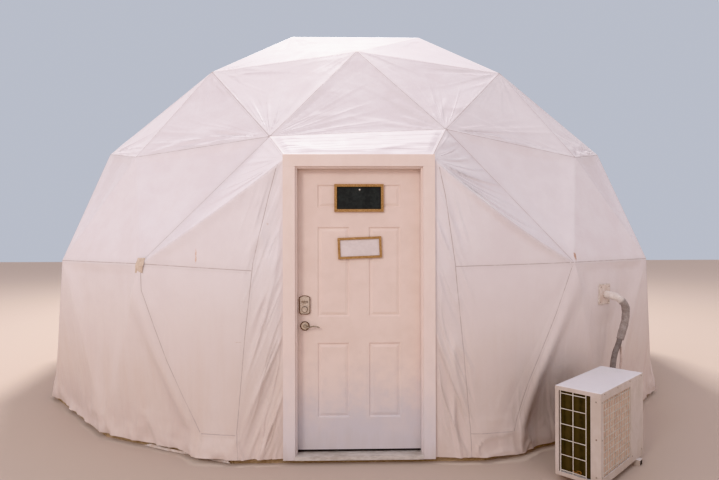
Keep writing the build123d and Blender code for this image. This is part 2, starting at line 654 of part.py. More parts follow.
# Outdoor unit, in its own plane: x along the fan side, y towards the dome
UNIT_OUT = ring_point(UNIT_FACING, 1, 0)
UNIT_SPOT = ring_point(UNIT_BEARING, BASE_REACH + UNIT_CLEAR, 0)
UNIT = Plane(origin=UNIT_SPOT, x_dir=UNIT_OUT.rotate(Axis.Z, 90), z_dir=(0, 0, 1))
UNIT_END, UNIT_FACE = UNIT_WIDTH / 2, UNIT_DEPTH / 2
PAN_TOP = FOOT_HEIGHT + PAN_THICK
LID_BOTTOM = UNIT_TOP - LID_THICK
SIDE_LOW, SIDE_HIGH = PAN_TOP + PANEL_GAP, LID_BOTTOM - PANEL_GAP
BAY_START = -UNIT_END + FAN_POST


def casing():
    """Lid, base pan, posts and panels of folded sheet, closed on the valve side."""
    lid = block(-UNIT_END, UNIT_END, -UNIT_FACE, UNIT_FACE, LID_BOTTOM, UNIT_TOP)
    pieces = [fillet(lid.edges().group_by(Axis.Z)[-1], LID_ROUND),
              block(-UNIT_END, UNIT_END, -UNIT_FACE, UNIT_FACE, FOOT_HEIGHT, PAN_TOP)]
    inner_front = SHEET - UNIT_FACE + PANEL_GAP
    uprights = [(-UNIT_END, BAY_START, -UNIT_FACE, COIL_POST - UNIT_FACE),
                (-UNIT_END, REAR_POST - UNIT_END, UNIT_FACE - REAR_POST, UNIT_FACE),
                (FAN_BAY_END, UNIT_END, -UNIT_FACE, SHEET - UNIT_FACE),
                (UNIT_END - SHEET, UNIT_END, inner_front, UNIT_FACE),
                (FAN_BAY_END, FAN_BAY_END + SHEET, inner_front, UNIT_FACE - COIL_BACK - 2 * COIL_THICK)]
    for x0, x1, y0, y1 in uprights:
        pieces.append(block(x0, x1, y0, y1, SIDE_LOW, SIDE_HIGH))
    for low, high in ((SIDE_LOW, SIDE_LOW + RAIL_HEIGHT), (SIDE_HIGH - RAIL_HEIGHT, SIDE_HIGH)):
        pieces.append(block(BAY_START + PANEL_GAP, FAN_BAY_END - PANEL_GAP, -UNIT_FACE, SHEET - UNIT_FACE,
                            low, high))
    return UNIT * Compound([piece.solid() for piece in pieces])


def lattice(plane, width, height, across, up, bar, thick):
    """Flat guard: a frame with bars between its openings."""
    hole_width = (width - bar) / across - bar
    hole_height = (height - bar) / up - bar
    holes = GridLocations(hole_width + bar, hole_height + bar, across, up) * Rectangle(hole_width, hole_height)
    return extrude(plane * (Rectangle(width, height) - holes), thick).solid()


def guards():
    middle = (SIDE_LOW + SIDE_HIGH) / 2
    fan_width = FAN_BAY_END - BAY_START - 2 * SEAT
    fan = Plane(origin=((BAY_START + FAN_BAY_END) / 2, SHEET - UNIT_FACE + SEAT, middle),
                x_dir=(1, 0, 0), z_dir=(0, -1, 0)).offset(-GUARD_THICK)
    side_width = UNIT_DEPTH - COIL_POST - REAR_POST
    side = Plane(origin=(-UNIT_END + COIL_BAR, (COIL_POST - REAR_POST) / 2, middle),
                 x_dir=(0, -1, 0), z_dir=(-1, 0, 0))
    rear_width = UNIT_WIDTH - REAR_POST - SHEET
    rear = Plane(origin=((REAR_POST - SHEET) / 2, UNIT_FACE - COIL_BAR, middle),
                 x_dir=(-1, 0, 0), z_dir=(0, 1, 0))
    height = SIDE_HIGH - SIDE_LOW + 2 * PANEL_GAP
    return UNIT * Compound([lattice(fan, fan_width, height, 11, 12, GUARD_BAR, GUARD_THICK),
                            lattice(side, side_width - 2 * SEAT, height, 2, 6, COIL_BAR, COIL_BAR),
                            lattice(rear, rear_width - 2 * SEAT, height, 7, 6, COIL_BAR, COIL_BAR)])


def coil():
    """Finned block behind the open end and the open back."""
    end = block(COIL_BACK - UNIT_END, COIL_BACK + COIL_THICK - UNIT_END,
                COIL_POST - UNIT_FACE + PANEL_GAP, UNIT_FACE - COIL_BACK - COIL_THICK - PANEL_GAP,
                PAN_TOP, LID_BOTTOM)
    back = block(REAR_POST - UNIT_END + PANEL_GAP, UNIT_END - SHEET - PANEL_GAP,
                 UNIT_FACE - COIL_BACK - COIL_THICK, UNIT_FACE - COIL_BACK, PAN_TOP, LID_BOTTOM)
    return UNIT * Compound([end.solid(), back.solid()])


def blade(turn):
    """Twisted blade between a narrow steep root and a broad flat tip."""
    sections = []
    for reach, chord, pitch in ((FAN_HUB_RADIUS / 2, BLADE_ROOT, ROOT_PITCH), (FAN_RADIUS, BLADE_TIP, TIP_PITCH)):
        lean = math.radians(pitch)
        plane = Plane(origin=(0, 0, reach), x_dir=(math.cos(lean), math.sin(lean), 0), z_dir=(0, 0, 1))
        sections.append(plane * Rectangle(chord, BLADE_THICK))
    return loft(sections, ruled=True).rotate(Axis.Y, turn)


def fan():
    """Three-bladed fan on its motor, held by a strap behind it from the pan to the lid."""
    hub = extrude(Plane(origin=(0, -FAN_DEPTH / 2, 0), z_dir=(0, 1, 0)) * Circle(FAN_HUB_RADIUS), FAN_DEPTH)
    wheel = hub
    for i in range(BLADE_COUNT):
        wheel += blade(i * 360 / BLADE_COUNT)
    middle = (PAN_TOP + LID_BOTTOM) / 2
    strap = block(-FAN_HUB_RADIUS, FAN_HUB_RADIUS, FAN_DEPTH / 2, FAN_DEPTH / 2 + SHEET,
                  PAN_TOP - middle, LID_BOTTOM - middle)
    place = Pos((BAY_START + FAN_BAY_END) / 2, FAN_BACK - UNIT_FACE, middle)
    return UNIT * (place * (wheel + strap)).solid()


def unit_feet():
    feet = []
    for way in (-1, 1):
        x = way * (UNIT_END - FOOT_INSET)
        half, reach = FOOT_WIDTH / 2, UNIT_FACE + FOOT_OUT
        channel = block(x - half, x + half, -reach, reach, 0, FOOT_HEIGHT)
        hollow = block(x - half + FOOT_SHEET, x + half - FOOT_SHEET, -reach, reach, 0, FOOT_HEIGHT - FOOT_SHEET)
        feet.append((channel - hollow).solid())
    return UNIT * Compound(feet)


def valve(height):
    """Service valve on the closed end: a round body and a hexagon nut."""
    plane = Plane(origin=(UNIT_END, VALVE_BACK, height), x_dir=(0, 1, 0), z_dir=(1, 0, 0))
    body = extrude(plane * Circle(VALVE_RADIUS), VALVE_LENGTH)
    nut = extrude(plane.offset(VALVE_LENGTH) * RegularPolygon(NUT_RADIUS, 6), NUT_LENGTH)
    return (body + nut).solid()


# Line set: a taped bundle from the plate on the cover, which parts into a hose and a drain
def plate_plane():
    """Plane on the outer face of the cover, level across."""
    corners = [cover_point(key) for key in PLATE_PANEL]
    middle = Vector(0, 0, 0)
    for share, corner in zip(PLATE_SHARES, corners):
        middle += corner * share
    normal = (corners[1] - corners[0]).cross(corners[2] - corners[0]).normalized()
    normal = normal if normal.dot(middle - CENTRE) > 0 else -normal
    level = Vector(0, 0, 1).cross(normal)
    return Plane(origin=middle + normal * (COVER_THICK + SEAT), x_dir=level, z_dir=normal)


def bend_radii(points):
    """The largest arc that each corner's two runs allow."""
    radii = []
    for i in range(1, len(points) - 1):
        before, after = points[i] - points[i - 1], points[i + 1] - points[i]
        half_turn = math.radians(before.get_angle(after)) / 2
        radii.append(0.45 * min(before.length, after.length) / math.tan(half_turn))
    return radii


def pipe(points, radius):
    path = FilletPolyline(*points, radius=bend_radii(points))
    return sweep(Plane(origin=path @ 0, z_dir=path % 0) * Circle(radius), path=path).solid()


def line_set():
    plate = plate_plane()
    start = plate.origin + plate.z_dir * WALL_PLATE_THICK
    bundle = [start, start + plate.z_dir * BUNDLE_LEAD] + [start + Vector(*step) for step in BUNDLE_STEPS]
    run = (bundle[-1] - bundle[-2]).normalized()
    aside = UNIT.x_dir - run * UNIT.x_dir.dot(run)
    split = bundle[-1] + run * SPLIT_GAP
    pieces = [pipe(bundle, BUNDLE_RADIUS)]
    for shift, radius, steps, height in ((HOSE_ASIDE, HOSE_RADIUS, HOSE_STEPS, HOSE_VALVE_HEIGHT),
                                         (DRAIN_ASIDE, DRAIN_RADIUS, DRAIN_STEPS, DRAIN_VALVE_HEIGHT)):
        begin = split + aside.normalized() * shift
        valve_face = UNIT_END + VALVE_LENGTH + NUT_LENGTH
        route = [begin, begin + run * HOSE_RADIUS]
        route += [UNIT.from_local_coords(Vector(*step)) for step in steps]
        route.append(UNIT.from_local_coords(Vector(valve_face + 2 * HOSE_RADIUS, VALVE_BACK, height)))
        route.append(UNIT.from_local_coords(Vector(valve_face, VALVE_BACK, height)))
        pieces.append(pipe(route, radius))
    return Compound(pieces)


def save(shape, name):
    export_step(shape, "parts/" + name + ".step")


def build_frame():
    groups = {"frame_crown": ["crown crest", "crest crest", "crest upper"],
              "frame_roof": ["upper upper", "eave upper"],
              "frame_eave_ring": ["eave eave"],
              "frame_shoulder": ["eave waist"],
              "frame_waist_ring": ["waist waist"],
              "frame_wall": ["base waist"],
              "frame_base_ring": ["base base"]}
    struts = {}
    for first, second in all_struts():
        pair = " ".join(sorted((RING_OF[first[0]], RING_OF[second[0]])))
        struts.setdefault(pair.replace("crest crown", "crown crest"), []).append(strut(first, second))
    for name, pairs in groups.items():
        save(Compound([bar for pair in pairs for bar in struts[pair]]), name)
    plates = [hub_plate(key, len(NEIGHBOURS[key])) for key in HUBS if key not in BASE_HUBS]
    save(Compound(plates), "hub_plates")
    save(Compound([base_bracket(key) for key in BASE_HUBS]), "base_brackets")
    save(Compound([portal_tie(("eave_b", 4), -1), portal_tie(("eave_a", 0), 1)]), "portal_ties")


def build_deck():
    outer = sill_outline()
    inner = inset(outer, SILL_WIDTH)
    boards = [sill_board(outer[i - 1], outer[i], inner[i - 1], inner[i]) for i in range(len(outer))]
    save(Compound(boards), "sill_boards")
    floor = make_face(Polyline(inset(outer, SILL_WIDTH + SEAT), close=True))
    save(extrude(floor, DECK_THICK).solid(), "floor_deck")


def build_cover():
    for k, side in enumerate(SIDES):
        save(cover_node(roof_panels(k)), "cover_roof_" + side)
        save(cover_node(standing(wall_panels(k))), "cover_wall_" + side)
    save(portal_roof(), "portal_roof")
    save(portal_cheek(-1), "portal_cheek_left")
    save(portal_cheek(1), "portal_cheek_right")


def build_entrance():
    save(buck(), "door_buck")
    save(jambs(), "door_jambs")
    save(trim(), "door_trim")
    save(threshold(), "door_threshold")
    save(door_leaf(), "door_leaf")
    sweep_strip = block(-LEAF_WIDTH / 2, LEAF_WIDTH / 2, LEAF_FRONT, LEAF_BACK,
                        LEAF_BOTTOM - SWEEP_HEIGHT, LEAF_BOTTOM)
    save(sweep_strip.solid(), "door_sweep")
    save(lever_set(), "door_levers")
    save(Compound([rose(face, out) for face, out in leaf_faces()] + [keypad(), inner_lock()]), "door_lock")
    save(Compound([door_hinge(middle) for middle in HINGE_MIDDLES]), "door_hinge_leaves")
    save(Compound([jamb_hinge(middle) for middle in HINGE_MIDDLES]), "jamb_hinge_leaves")
    signs = (UPPER_SIGN, LOWER_SIGN)
    save(Compound([sign_frame(sign) for sign in signs]), "sign_frames")
    save(Compound([sign_board(sign) for sign in signs]), "sign_boards")


def build_unit():
    save(casing(), "condenser_casing")
    save(coil(), "condenser_coil")
    save(guards(), "condenser_guards")
    save(fan(), "condenser_fan")
    save(unit_feet(), "condenser_feet")
    save(UNIT * Compound([valve(HOSE_VALVE_HEIGHT), valve(DRAIN_VALVE_HEIGHT)]), "condenser_valves")
    save(extrude(plate_plane() * Rectangle(PLATE_SIDE, PLATE_SIDE), WALL_PLATE_THICK).solid(), "wall_plate")
    save(line_set(), "line_set")


os.makedirs("parts", exist_ok=True)
build_deck()
build_frame()
build_cover()
build_entrance()
build_unit()
print("hinge", HINGE_X, HINGE_Y, "leaf", LEAF_BOTTOM, LEAF_TOP, LEAF_FRONT, LEAF_BACK)
print("latch", LATCH_X, LEVER_Z, "door face", DOOR_FACE, "trim", TRIM_INNER, TRIM_OUTER, TRIM_TOP)
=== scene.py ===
# %% [markdown]
# This scene dresses a fabric-covered geodesic dome: a steel tube frame, a welded white membrane pulled
# over it, a panelled entrance door in a timber portal, and an outdoor unit whose pipes run up to the cover.
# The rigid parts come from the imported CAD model. Here they get their finishes, and the soft parts, which
# CAD can only show as flat plates, are made again as cloth.

# %% Load the model
import itertools
import json
import math

import bmesh
import bpy
import numpy as np
from mathutils import Matrix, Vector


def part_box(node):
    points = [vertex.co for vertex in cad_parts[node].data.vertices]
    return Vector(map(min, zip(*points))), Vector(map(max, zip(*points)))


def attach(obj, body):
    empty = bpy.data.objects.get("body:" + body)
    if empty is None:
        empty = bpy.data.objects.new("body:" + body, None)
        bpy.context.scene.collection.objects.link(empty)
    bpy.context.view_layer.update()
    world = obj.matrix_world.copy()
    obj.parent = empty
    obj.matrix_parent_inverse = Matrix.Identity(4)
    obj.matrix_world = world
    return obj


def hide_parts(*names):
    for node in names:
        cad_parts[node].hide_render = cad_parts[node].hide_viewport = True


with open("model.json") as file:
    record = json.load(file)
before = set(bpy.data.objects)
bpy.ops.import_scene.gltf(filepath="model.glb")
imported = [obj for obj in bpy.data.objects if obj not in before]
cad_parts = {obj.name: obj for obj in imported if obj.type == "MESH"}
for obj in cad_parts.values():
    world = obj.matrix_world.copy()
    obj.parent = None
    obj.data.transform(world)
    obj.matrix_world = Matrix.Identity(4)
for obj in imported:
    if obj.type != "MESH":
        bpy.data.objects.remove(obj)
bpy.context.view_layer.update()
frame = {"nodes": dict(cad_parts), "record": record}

# %% [markdown]
# The camera stands where the photographer stood, a little left of the door at eye height. Its place and
# turn were fitted to the hubs of the dome, so they are plain numbers. The three directions of the camera
# are worked out first, because a matrix of right, up and back is easier to trust than three angles.

# %% Camera
IMAGE_WIDTH, FOCAL_PIXELS = 719, 540
EYE = np.array([-0.058, -7.204, 1.597])
YAW, PITCH, ROLL = 0.0223, 0.0039, -0.0025
CENTRE_OFF = (3.56, -4.35)      # pixels from the image's middle to the lens axis


def unit(vectors):
    """One vector, or each row of an array of them, over its own length."""
    return vectors / np.linalg.norm(vectors, axis=-1, keepdims=True)


def camera_axes(yaw, pitch, roll):
    """Forward is the yaw turned from +Y towards +X, then lifted by the pitch; right and up roll round it."""
    forward = np.array([math.sin(yaw) * math.cos(pitch), math.cos(yaw) * math.cos(pitch), math.sin(pitch)])
    level = np.array([math.cos(yaw), -math.sin(yaw), 0.0])
    above = np.cross(level, forward)
    right = level * math.cos(roll) + above * math.sin(roll)
    up = above * math.cos(roll) - level * math.sin(roll)
    return right, up, forward


right, up, forward = camera_axes(YAW, PITCH, ROLL)
lens = bpy.data.cameras.new("photo_camera")
lens.sensor_width = 36
lens.lens = lens.sensor_width * FOCAL_PIXELS / IMAGE_WIDTH
lens.shift_x = -CENTRE_OFF[0] / IMAGE_WIDTH
lens.shift_y = CENTRE_OFF[1] / IMAGE_WIDTH
camera = bpy.data.objects.new("photo_camera", lens)
turn = np.eye(4)
turn[:3, 0], turn[:3, 1], turn[:3, 2], turn[:3, 3] = right, up, -forward, EYE
camera.matrix_world = Matrix(turn.tolist())
bpy.context.scene.collection.objects.link(camera)
bpy.context.scene.camera = camera
print("lens", round(lens.lens, 2), "mm at", EYE)

# %% [markdown]
# A product studio for something seven metres across needs a floor that goes on well beyond it. The floor is
# a plain pale plane that takes no part in the model, so it belongs to the stage.

# %% Floor
FLOOR_SIZE = 60


def plain_finish(name, colour, roughness):
    """One colour and one roughness, for things that aren't part of the object."""
    finish = bpy.data.materials.new(name)
    finish.use_nodes = True
    shader = finish.node_tree.nodes["Principled BSDF"]
    shader.inputs["Base Color"].default_value = (*colour, 1)
    shader.inputs["Roughness"].default_value = roughness
    return finish


half = FLOOR_SIZE / 2
floor_corners = [(-half, -half, 0), (half, -half, 0), (half, half, 0), (-half, half, 0)]
floor_mesh = bpy.data.meshes.new("studio_floor")
floor_mesh.from_pydata(floor_corners, [], [(0, 1, 2, 3)])
floor_mesh.materials.append(plain_finish("studio_floor", (0.60, 0.50, 0.43), 0.85))
studio_floor = bpy.data.objects.new("studio_floor", floor_mesh)
bpy.context.scene.collection.objects.link(studio_floor)
print("studio floor of", FLOOR_SIZE, "m")

# %% [markdown]
# One broad lamp hangs over the dome, a weaker one fills from the front, and the pale surroundings do the
# rest, so the folds of the cloth show without hard shadows. A dim third one under the crown stands for the
# daylight that comes through the cloth, or the room would be black behind an open door. The camera itself
# sees greyer surroundings than the ones that light the dome.

# %% Lamps and surroundings
def lamp(name, place, target, width, power, colour):
    """A square lamp at one point, facing another."""
    data = bpy.data.lights.new(name, "AREA")
    data.shape, data.size, data.energy, data.color = "SQUARE", width, power, colour
    item = bpy.data.objects.new(name, data)
    bpy.context.scene.collection.objects.link(item)
    back = unit(np.array(place, float) - np.array(target, float))
    side = unit(np.cross((0.0, 1.0, 0.001), back))
    axes = np.eye(4)
    axes[:3, 0], axes[:3, 1], axes[:3, 2], axes[:3, 3] = side, np.cross(back, side), back, place
    item.matrix_world = Matrix(axes.tolist())
    return item


lamp("overhead_lamp", (-1.0, 6.2, 12.8), (0, 0, 1.5), 3.5, 1700, (1.0, 0.985, 0.97))
lamp("front_fill", (-6.0, -12.5, 6.5), (0, 0, 1.5), 3.0, 330, (1.0, 0.94, 0.91))
lamp("room_glow", (0, 0, 3.4), (0, 0, 0), 1.6, 70, (1.0, 0.97, 0.95)).visible_camera = False
surroundings = bpy.data.worlds.new("surroundings")
bpy.context.scene.world = surroundings
surroundings.use_nodes = True
ambient = surroundings.node_tree
daylight = ambient.nodes["Background"]
daylight.inputs["Color"].default_value = (1.0, 0.93, 0.975, 1)
daylight.inputs["Strength"].default_value = 0.75
backdrop = ambient.nodes.new("ShaderNodeBackground")
backdrop.inputs["Color"].default_value = (0.52, 0.55, 0.62, 1)
ray = ambient.nodes.new("ShaderNodeLightPath")
chooser = ambient.nodes.new("ShaderNodeMixShader")
ambient.links.new(ray.outputs["Is Camera Ray"], chooser.inputs[0])
ambient.links.new(daylight.outputs[0], chooser.inputs[1])
ambient.links.new(backdrop.outputs[0], chooser.inputs[2])
ambient.links.new(chooser.outputs[0], ambient.nodes["World Output"].inputs["Surface"])
bpy.context.scene.view_settings.view_transform = "Khronos PBR Neutral"
print("three lamps, and surroundings of two greys")

# %% [markdown]
# Most of these finishes share a few effects: a soft mottling, dirt that splashes up from the ground,
# wood grain and a fine relief. Each is a node group with its own inputs, built once and set differently
# in every material. The small helpers below only save typing: one adds a node and fills its sockets, and
# the others call it for one kind of node each.

# %% Helpers for materials
def add(tree, kind, sockets=None, **settings):
    """Add a node; a socket's value may be a number, a colour or another node's output."""
    item = tree.nodes.new(kind)
    for key, value in settings.items():
        setattr(item, key, value)
    for key, value in (sockets or {}).items():
        port = item.inputs[key]
        if isinstance(value, bpy.types.NodeSocket):
            tree.links.new(value, port)
        else:
            port.default_value = value
    return item


def blend_colours(tree, share, first, second):
    """First where share is 0, second where it is 1."""
    first, second = [(*c, 1) if isinstance(c, tuple) and len(c) == 3 else c for c in (first, second)]
    return add(tree, "ShaderNodeMix", {0: share, 6: first, 7: second}, data_type="RGBA").outputs[2]


def reckon(tree, way, first, second=0.0, clamp=False):
    """Arithmetic on one or two numbers, by its name."""
    return add(tree, "ShaderNodeMath", {0: first, 1: second}, operation=way, use_clamp=clamp).outputs[0]


def reckon_vector(tree, way, first, second=(0, 0, 0)):
    """Arithmetic on vectors; a LENGTH comes out as one number."""
    node = add(tree, "ShaderNodeVectorMath", {0: first, 1: second}, operation=way)
    return node.outputs["Value" if way == "LENGTH" else 0]


def part_of(tree, vector, axis):
    """One of the three numbers of a vector."""
    return add(tree, "ShaderNodeSeparateXYZ", {0: vector}).outputs[axis]


def noise(tree, place, scale, **more):
    """Noise at a place; more sets its other inputs by name."""
    return add(tree, "ShaderNodeTexNoise", {"Vector": place, "Scale": scale, **more}).outputs[0]


def off_half(tree, share):
    """How far a share is from one half."""
    return reckon(tree, "ABSOLUTE", reckon(tree, "SUBTRACT", share, 0.5))


def tinted(tree, colour, tint, mask, strength):
    """The colour, turned towards a tint by the mask times the strength."""
    return blend_colours(tree, reckon(tree, "MULTIPLY", mask, strength), colour, tint)


def ramp(tree, value, low, high, start=0.0, end=1.0):
    """Value from low to high becomes start to end, eased and held at both ends."""
    return add(tree, "ShaderNodeMapRange", {"Value": value, "From Min": low, "From Max": high,
                                            "To Min": start, "To Max": end},
               interpolation_type="SMOOTHSTEP").outputs["Result"]


print("helpers for single nodes are ready")

# %% [markdown]
# Two more helpers make a node group and put it into a material, and the last two start a material and end
# it: the first gives its tree, its shader and the object's coordinates, the second links a relief.

# %% Helpers for effects and finishes
def new_effect(name, inputs, outputs):
    """A node group; gives its tree, what comes in and where the results go."""
    tree = bpy.data.node_groups.new(name, "ShaderNodeTree")
    for label, kind, value in inputs:
        socket = tree.interface.new_socket(label, in_out="INPUT", socket_type="NodeSocket" + kind)
        if value is not None:
            socket.default_value = value
    for label, kind in outputs:
        tree.interface.new_socket(label, in_out="OUTPUT", socket_type="NodeSocket" + kind)
    return tree, tree.nodes.new("NodeGroupInput").outputs, tree.nodes.new("NodeGroupOutput").inputs


def place_effect(tree, effect, sockets):
    """Put a group into a material; gives its outputs."""
    return add(tree, "ShaderNodeGroup", sockets, node_tree=effect).outputs


def new_finish(name):
    """A material; gives it, its tree, its shader and the coordinates of the object."""
    finish = bpy.data.materials.new(name)
    finish.use_nodes = True
    tree = finish.node_tree
    return finish, tree, tree.nodes["Principled BSDF"], add(tree, "ShaderNodeTexCoord").outputs["Object"]


def raise_relief(tree, shader, height, distance, strength):
    """Bump the shader's surface by a height that counts in units of the distance."""
    bump = add(tree, "ShaderNodeBump", {"Height": height, "Distance": distance, "Strength": strength})
    tree.links.new(bump.outputs[0], shader.inputs["Normal"])


print("helpers for effects and finishes are ready")

# %% [markdown]
# Mottling is what no real surface is without: cloudy patches a hand wide and small spots inside them. Two
# layers of noise do it, the second a quarter of the size. Stretch squeezes the pattern along each axis, so
# a value below one draws it out into streaks, as on brushed metal or where rain has run down.

# %% Mottling
mottling, coming, going = new_effect(
    "mottling",
    [("Vector", "Vector", None), ("Stretch", "Vector", (1, 1, 1)), ("Scale", "Float", 4.0),
     ("Low", "Float", 0.35), ("High", "Float", 0.65)],
    [("Mask", "Float")])
drawn = reckon_vector(mottling, "MULTIPLY", coming["Vector"], coming["Stretch"])
broad = noise(mottling, drawn, coming["Scale"], Detail=5.0, Roughness=0.6)
small = noise(mottling, drawn, reckon(mottling, "MULTIPLY", coming["Scale"], 4.0), Detail=3.0)
both = reckon(mottling, "ADD", reckon(mottling, "MULTIPLY", broad, 0.7),
              reckon(mottling, "MULTIPLY", small, 0.3))
mottling.links.new(ramp(mottling, both, coming["Low"], coming["High"]), going["Mask"])


def clouds_of(tree, spot, scale, **more):
    """The mottling at a spot, from 0 to 1; more sets its other inputs by name."""
    return place_effect(tree, mottling, {"Vector": spot, "Scale": scale, **more})["Mask"]


print("effect:", mottling.name)

# %% [markdown]
# Dust and splashes climb a wall from the ground. They are thickest at the foot and reach higher in some
# streaks than in others, so a streaky noise raises or lowers the line where they fade out.

# %% Ground dirt
ground_dirt, coming, going = new_effect(
    "ground_dirt", [("Vector", "Vector", None), ("Reach", "Float", 0.5), ("Scale", "Float", 6.0)],
    [("Mask", "Float")])
streak_place = reckon_vector(ground_dirt, "MULTIPLY", coming["Vector"], (1, 1, 0.12))
streaks = noise(ground_dirt, streak_place, coming["Scale"], Detail=4.0, Roughness=0.65)
top = reckon(ground_dirt, "MULTIPLY", reckon(ground_dirt, "MULTIPLY", streaks, 2.0), coming["Reach"])
above = reckon(ground_dirt, "SUBTRACT", top, part_of(ground_dirt, coming["Vector"], "Z"))
ground_dirt.links.new(reckon(ground_dirt, "DIVIDE", above, coming["Reach"], clamp=True), going["Mask"])
print("effect:", ground_dirt.name)

# %% [markdown]
# Wood is rings cut lengthwise: long, nearly parallel lines that wander a little. Waves are bent by a
# stretched noise for the rings, and a fine noise stretched far along the board adds the pores.

# %% Wood grain
wood_grain, coming, going = new_effect(
    "wood_grain",
    [("Vector", "Vector", None), ("Stretch", "Vector", (1, 1, 0.08)), ("Scale", "Float", 20.0),
     ("Pale", "Color", (0.6, 0.45, 0.3, 1)), ("Dark", "Color", (0.35, 0.24, 0.15, 1))],
    [("Color", "Color"), ("Height", "Float")])
drawn = reckon_vector(wood_grain, "MULTIPLY", coming["Vector"], coming["Stretch"])
wander = noise(wood_grain, drawn, coming["Scale"], Detail=3.0, Distortion=0.8)
rings = reckon(wood_grain, "FRACT", reckon(wood_grain, "MULTIPLY", wander, 9.0))
pores = noise(wood_grain, drawn, reckon(wood_grain, "MULTIPLY", coming["Scale"], 12.0), Detail=2.0)
grain = reckon(wood_grain, "MULTIPLY", ramp(wood_grain, off_half(wood_grain, rings), 0.05, 0.5),
               ramp(wood_grain, pores, 0.3, 0.6, 0.45, 1.0))
wood_grain.links.new(blend_colours(wood_grain, grain, coming["Dark"], coming["Pale"]), going["Color"])
wood_grain.links.new(grain, going["Height"])
print("effect:", wood_grain.name)

# %% [markdown]
# Most rigid parts here are painted, plated or moulded. They differ in colour, shine and size of pattern,
# but the recipe is the same: two close colours mottled together, a roughness that follows a second
# mottling, a fine relief and some ground dirt. One function makes such a finish from its numbers.

# %% Finishes of the rigid parts
DUST = (0.50, 0.39, 0.29)
FOOT_SHADE_FADE, FOOT_SHADE_WAVER = (0.18, 0.88), 0.16      # heights the painted shade at the foot fades between, and how they waver
SKY_REFLECTION_FADE, SKY_REFLECTION_SHARE = (0.3, 0.95), 0.85         # upward turn of the faces that take the painted sky reflection, and how far they take it


def rigid_finish(name, pale, dark, scale=8.0, stretch=(1, 1, 1), shine=(0.35, 0.55), metal=0.0,
                 relief=(300.0, 0.0003), dirt=0.0, reach=0.3, foot=None, top=None):
    """Mottled colour and roughness, a fine relief, and dirt as strong as given up to the reach in metres.
    foot is a painted cool shade near the ground, top a painted reflection of the sky on faces that look up."""
    finish, tree, shader, spot = new_finish(name)
    clouds = clouds_of(tree, spot, scale, Stretch=stretch)
    colour = blend_colours(tree, clouds, dark, pale)
    # Painted shade: near the ground the paint turns to the foot's cooler, darker grey.
    if foot:
        uneven = reckon(tree, "ADD", part_of(tree, spot, "Z"), reckon(tree, "MULTIPLY", clouds, FOOT_SHADE_WAVER))
        colour = blend_colours(tree, ramp(tree, uneven, *FOOT_SHADE_FADE, 1.0, 0.0), colour, foot)
    # Painted reflection: faces that look up turn towards the pale blue of the sky.
    if top:
        upward = part_of(tree, add(tree, "ShaderNodeTexCoord").outputs["Normal"], "Z")
        colour = blend_colours(tree, ramp(tree, upward, *SKY_REFLECTION_FADE, 0.0, SKY_REFLECTION_SHARE), colour, top)
    if dirt:
        grime = place_effect(tree, ground_dirt, {"Vector": spot, "Reach": reach, "Scale": 14.0})["Mask"]
        colour = tinted(tree, colour, DUST, grime, dirt)
    tree.links.new(colour, shader.inputs["Base Color"])
    rubbed = clouds_of(tree, spot, scale * 3.0, Stretch=stretch)
    tree.links.new(ramp(tree, rubbed, 0.0, 1.0, *shine), shader.inputs["Roughness"])
    shader.inputs["Metallic"].default_value = metal
    raise_relief(tree, shader, noise(tree, spot, relief[0], Detail=2.0), relief[1], 0.6)
    return finish


def wood_finish(name, pale, dark, stretch, scale=20.0, shine=0.6, depth=0.0006, dirt=0.0):
    """Grain drawn out along the board, with its relief, under an even shine."""
    finish, tree, shader, spot = new_finish(name)
    grain = place_effect(tree, wood_grain, {"Vector": spot, "Stretch": stretch, "Scale": scale,
                                            "Pale": (*pale, 1), "Dark": (*dark, 1)})
    colour = grain["Color"]
    if dirt:
        colour = tinted(tree, colour, DUST, clouds_of(tree, spot, 5.0), dirt)
    tree.links.new(colour, shader.inputs["Base Color"])
    shader.inputs["Roughness"].default_value = shine
    raise_relief(tree, shader, grain["Height"], depth, 0.7)
    return finish


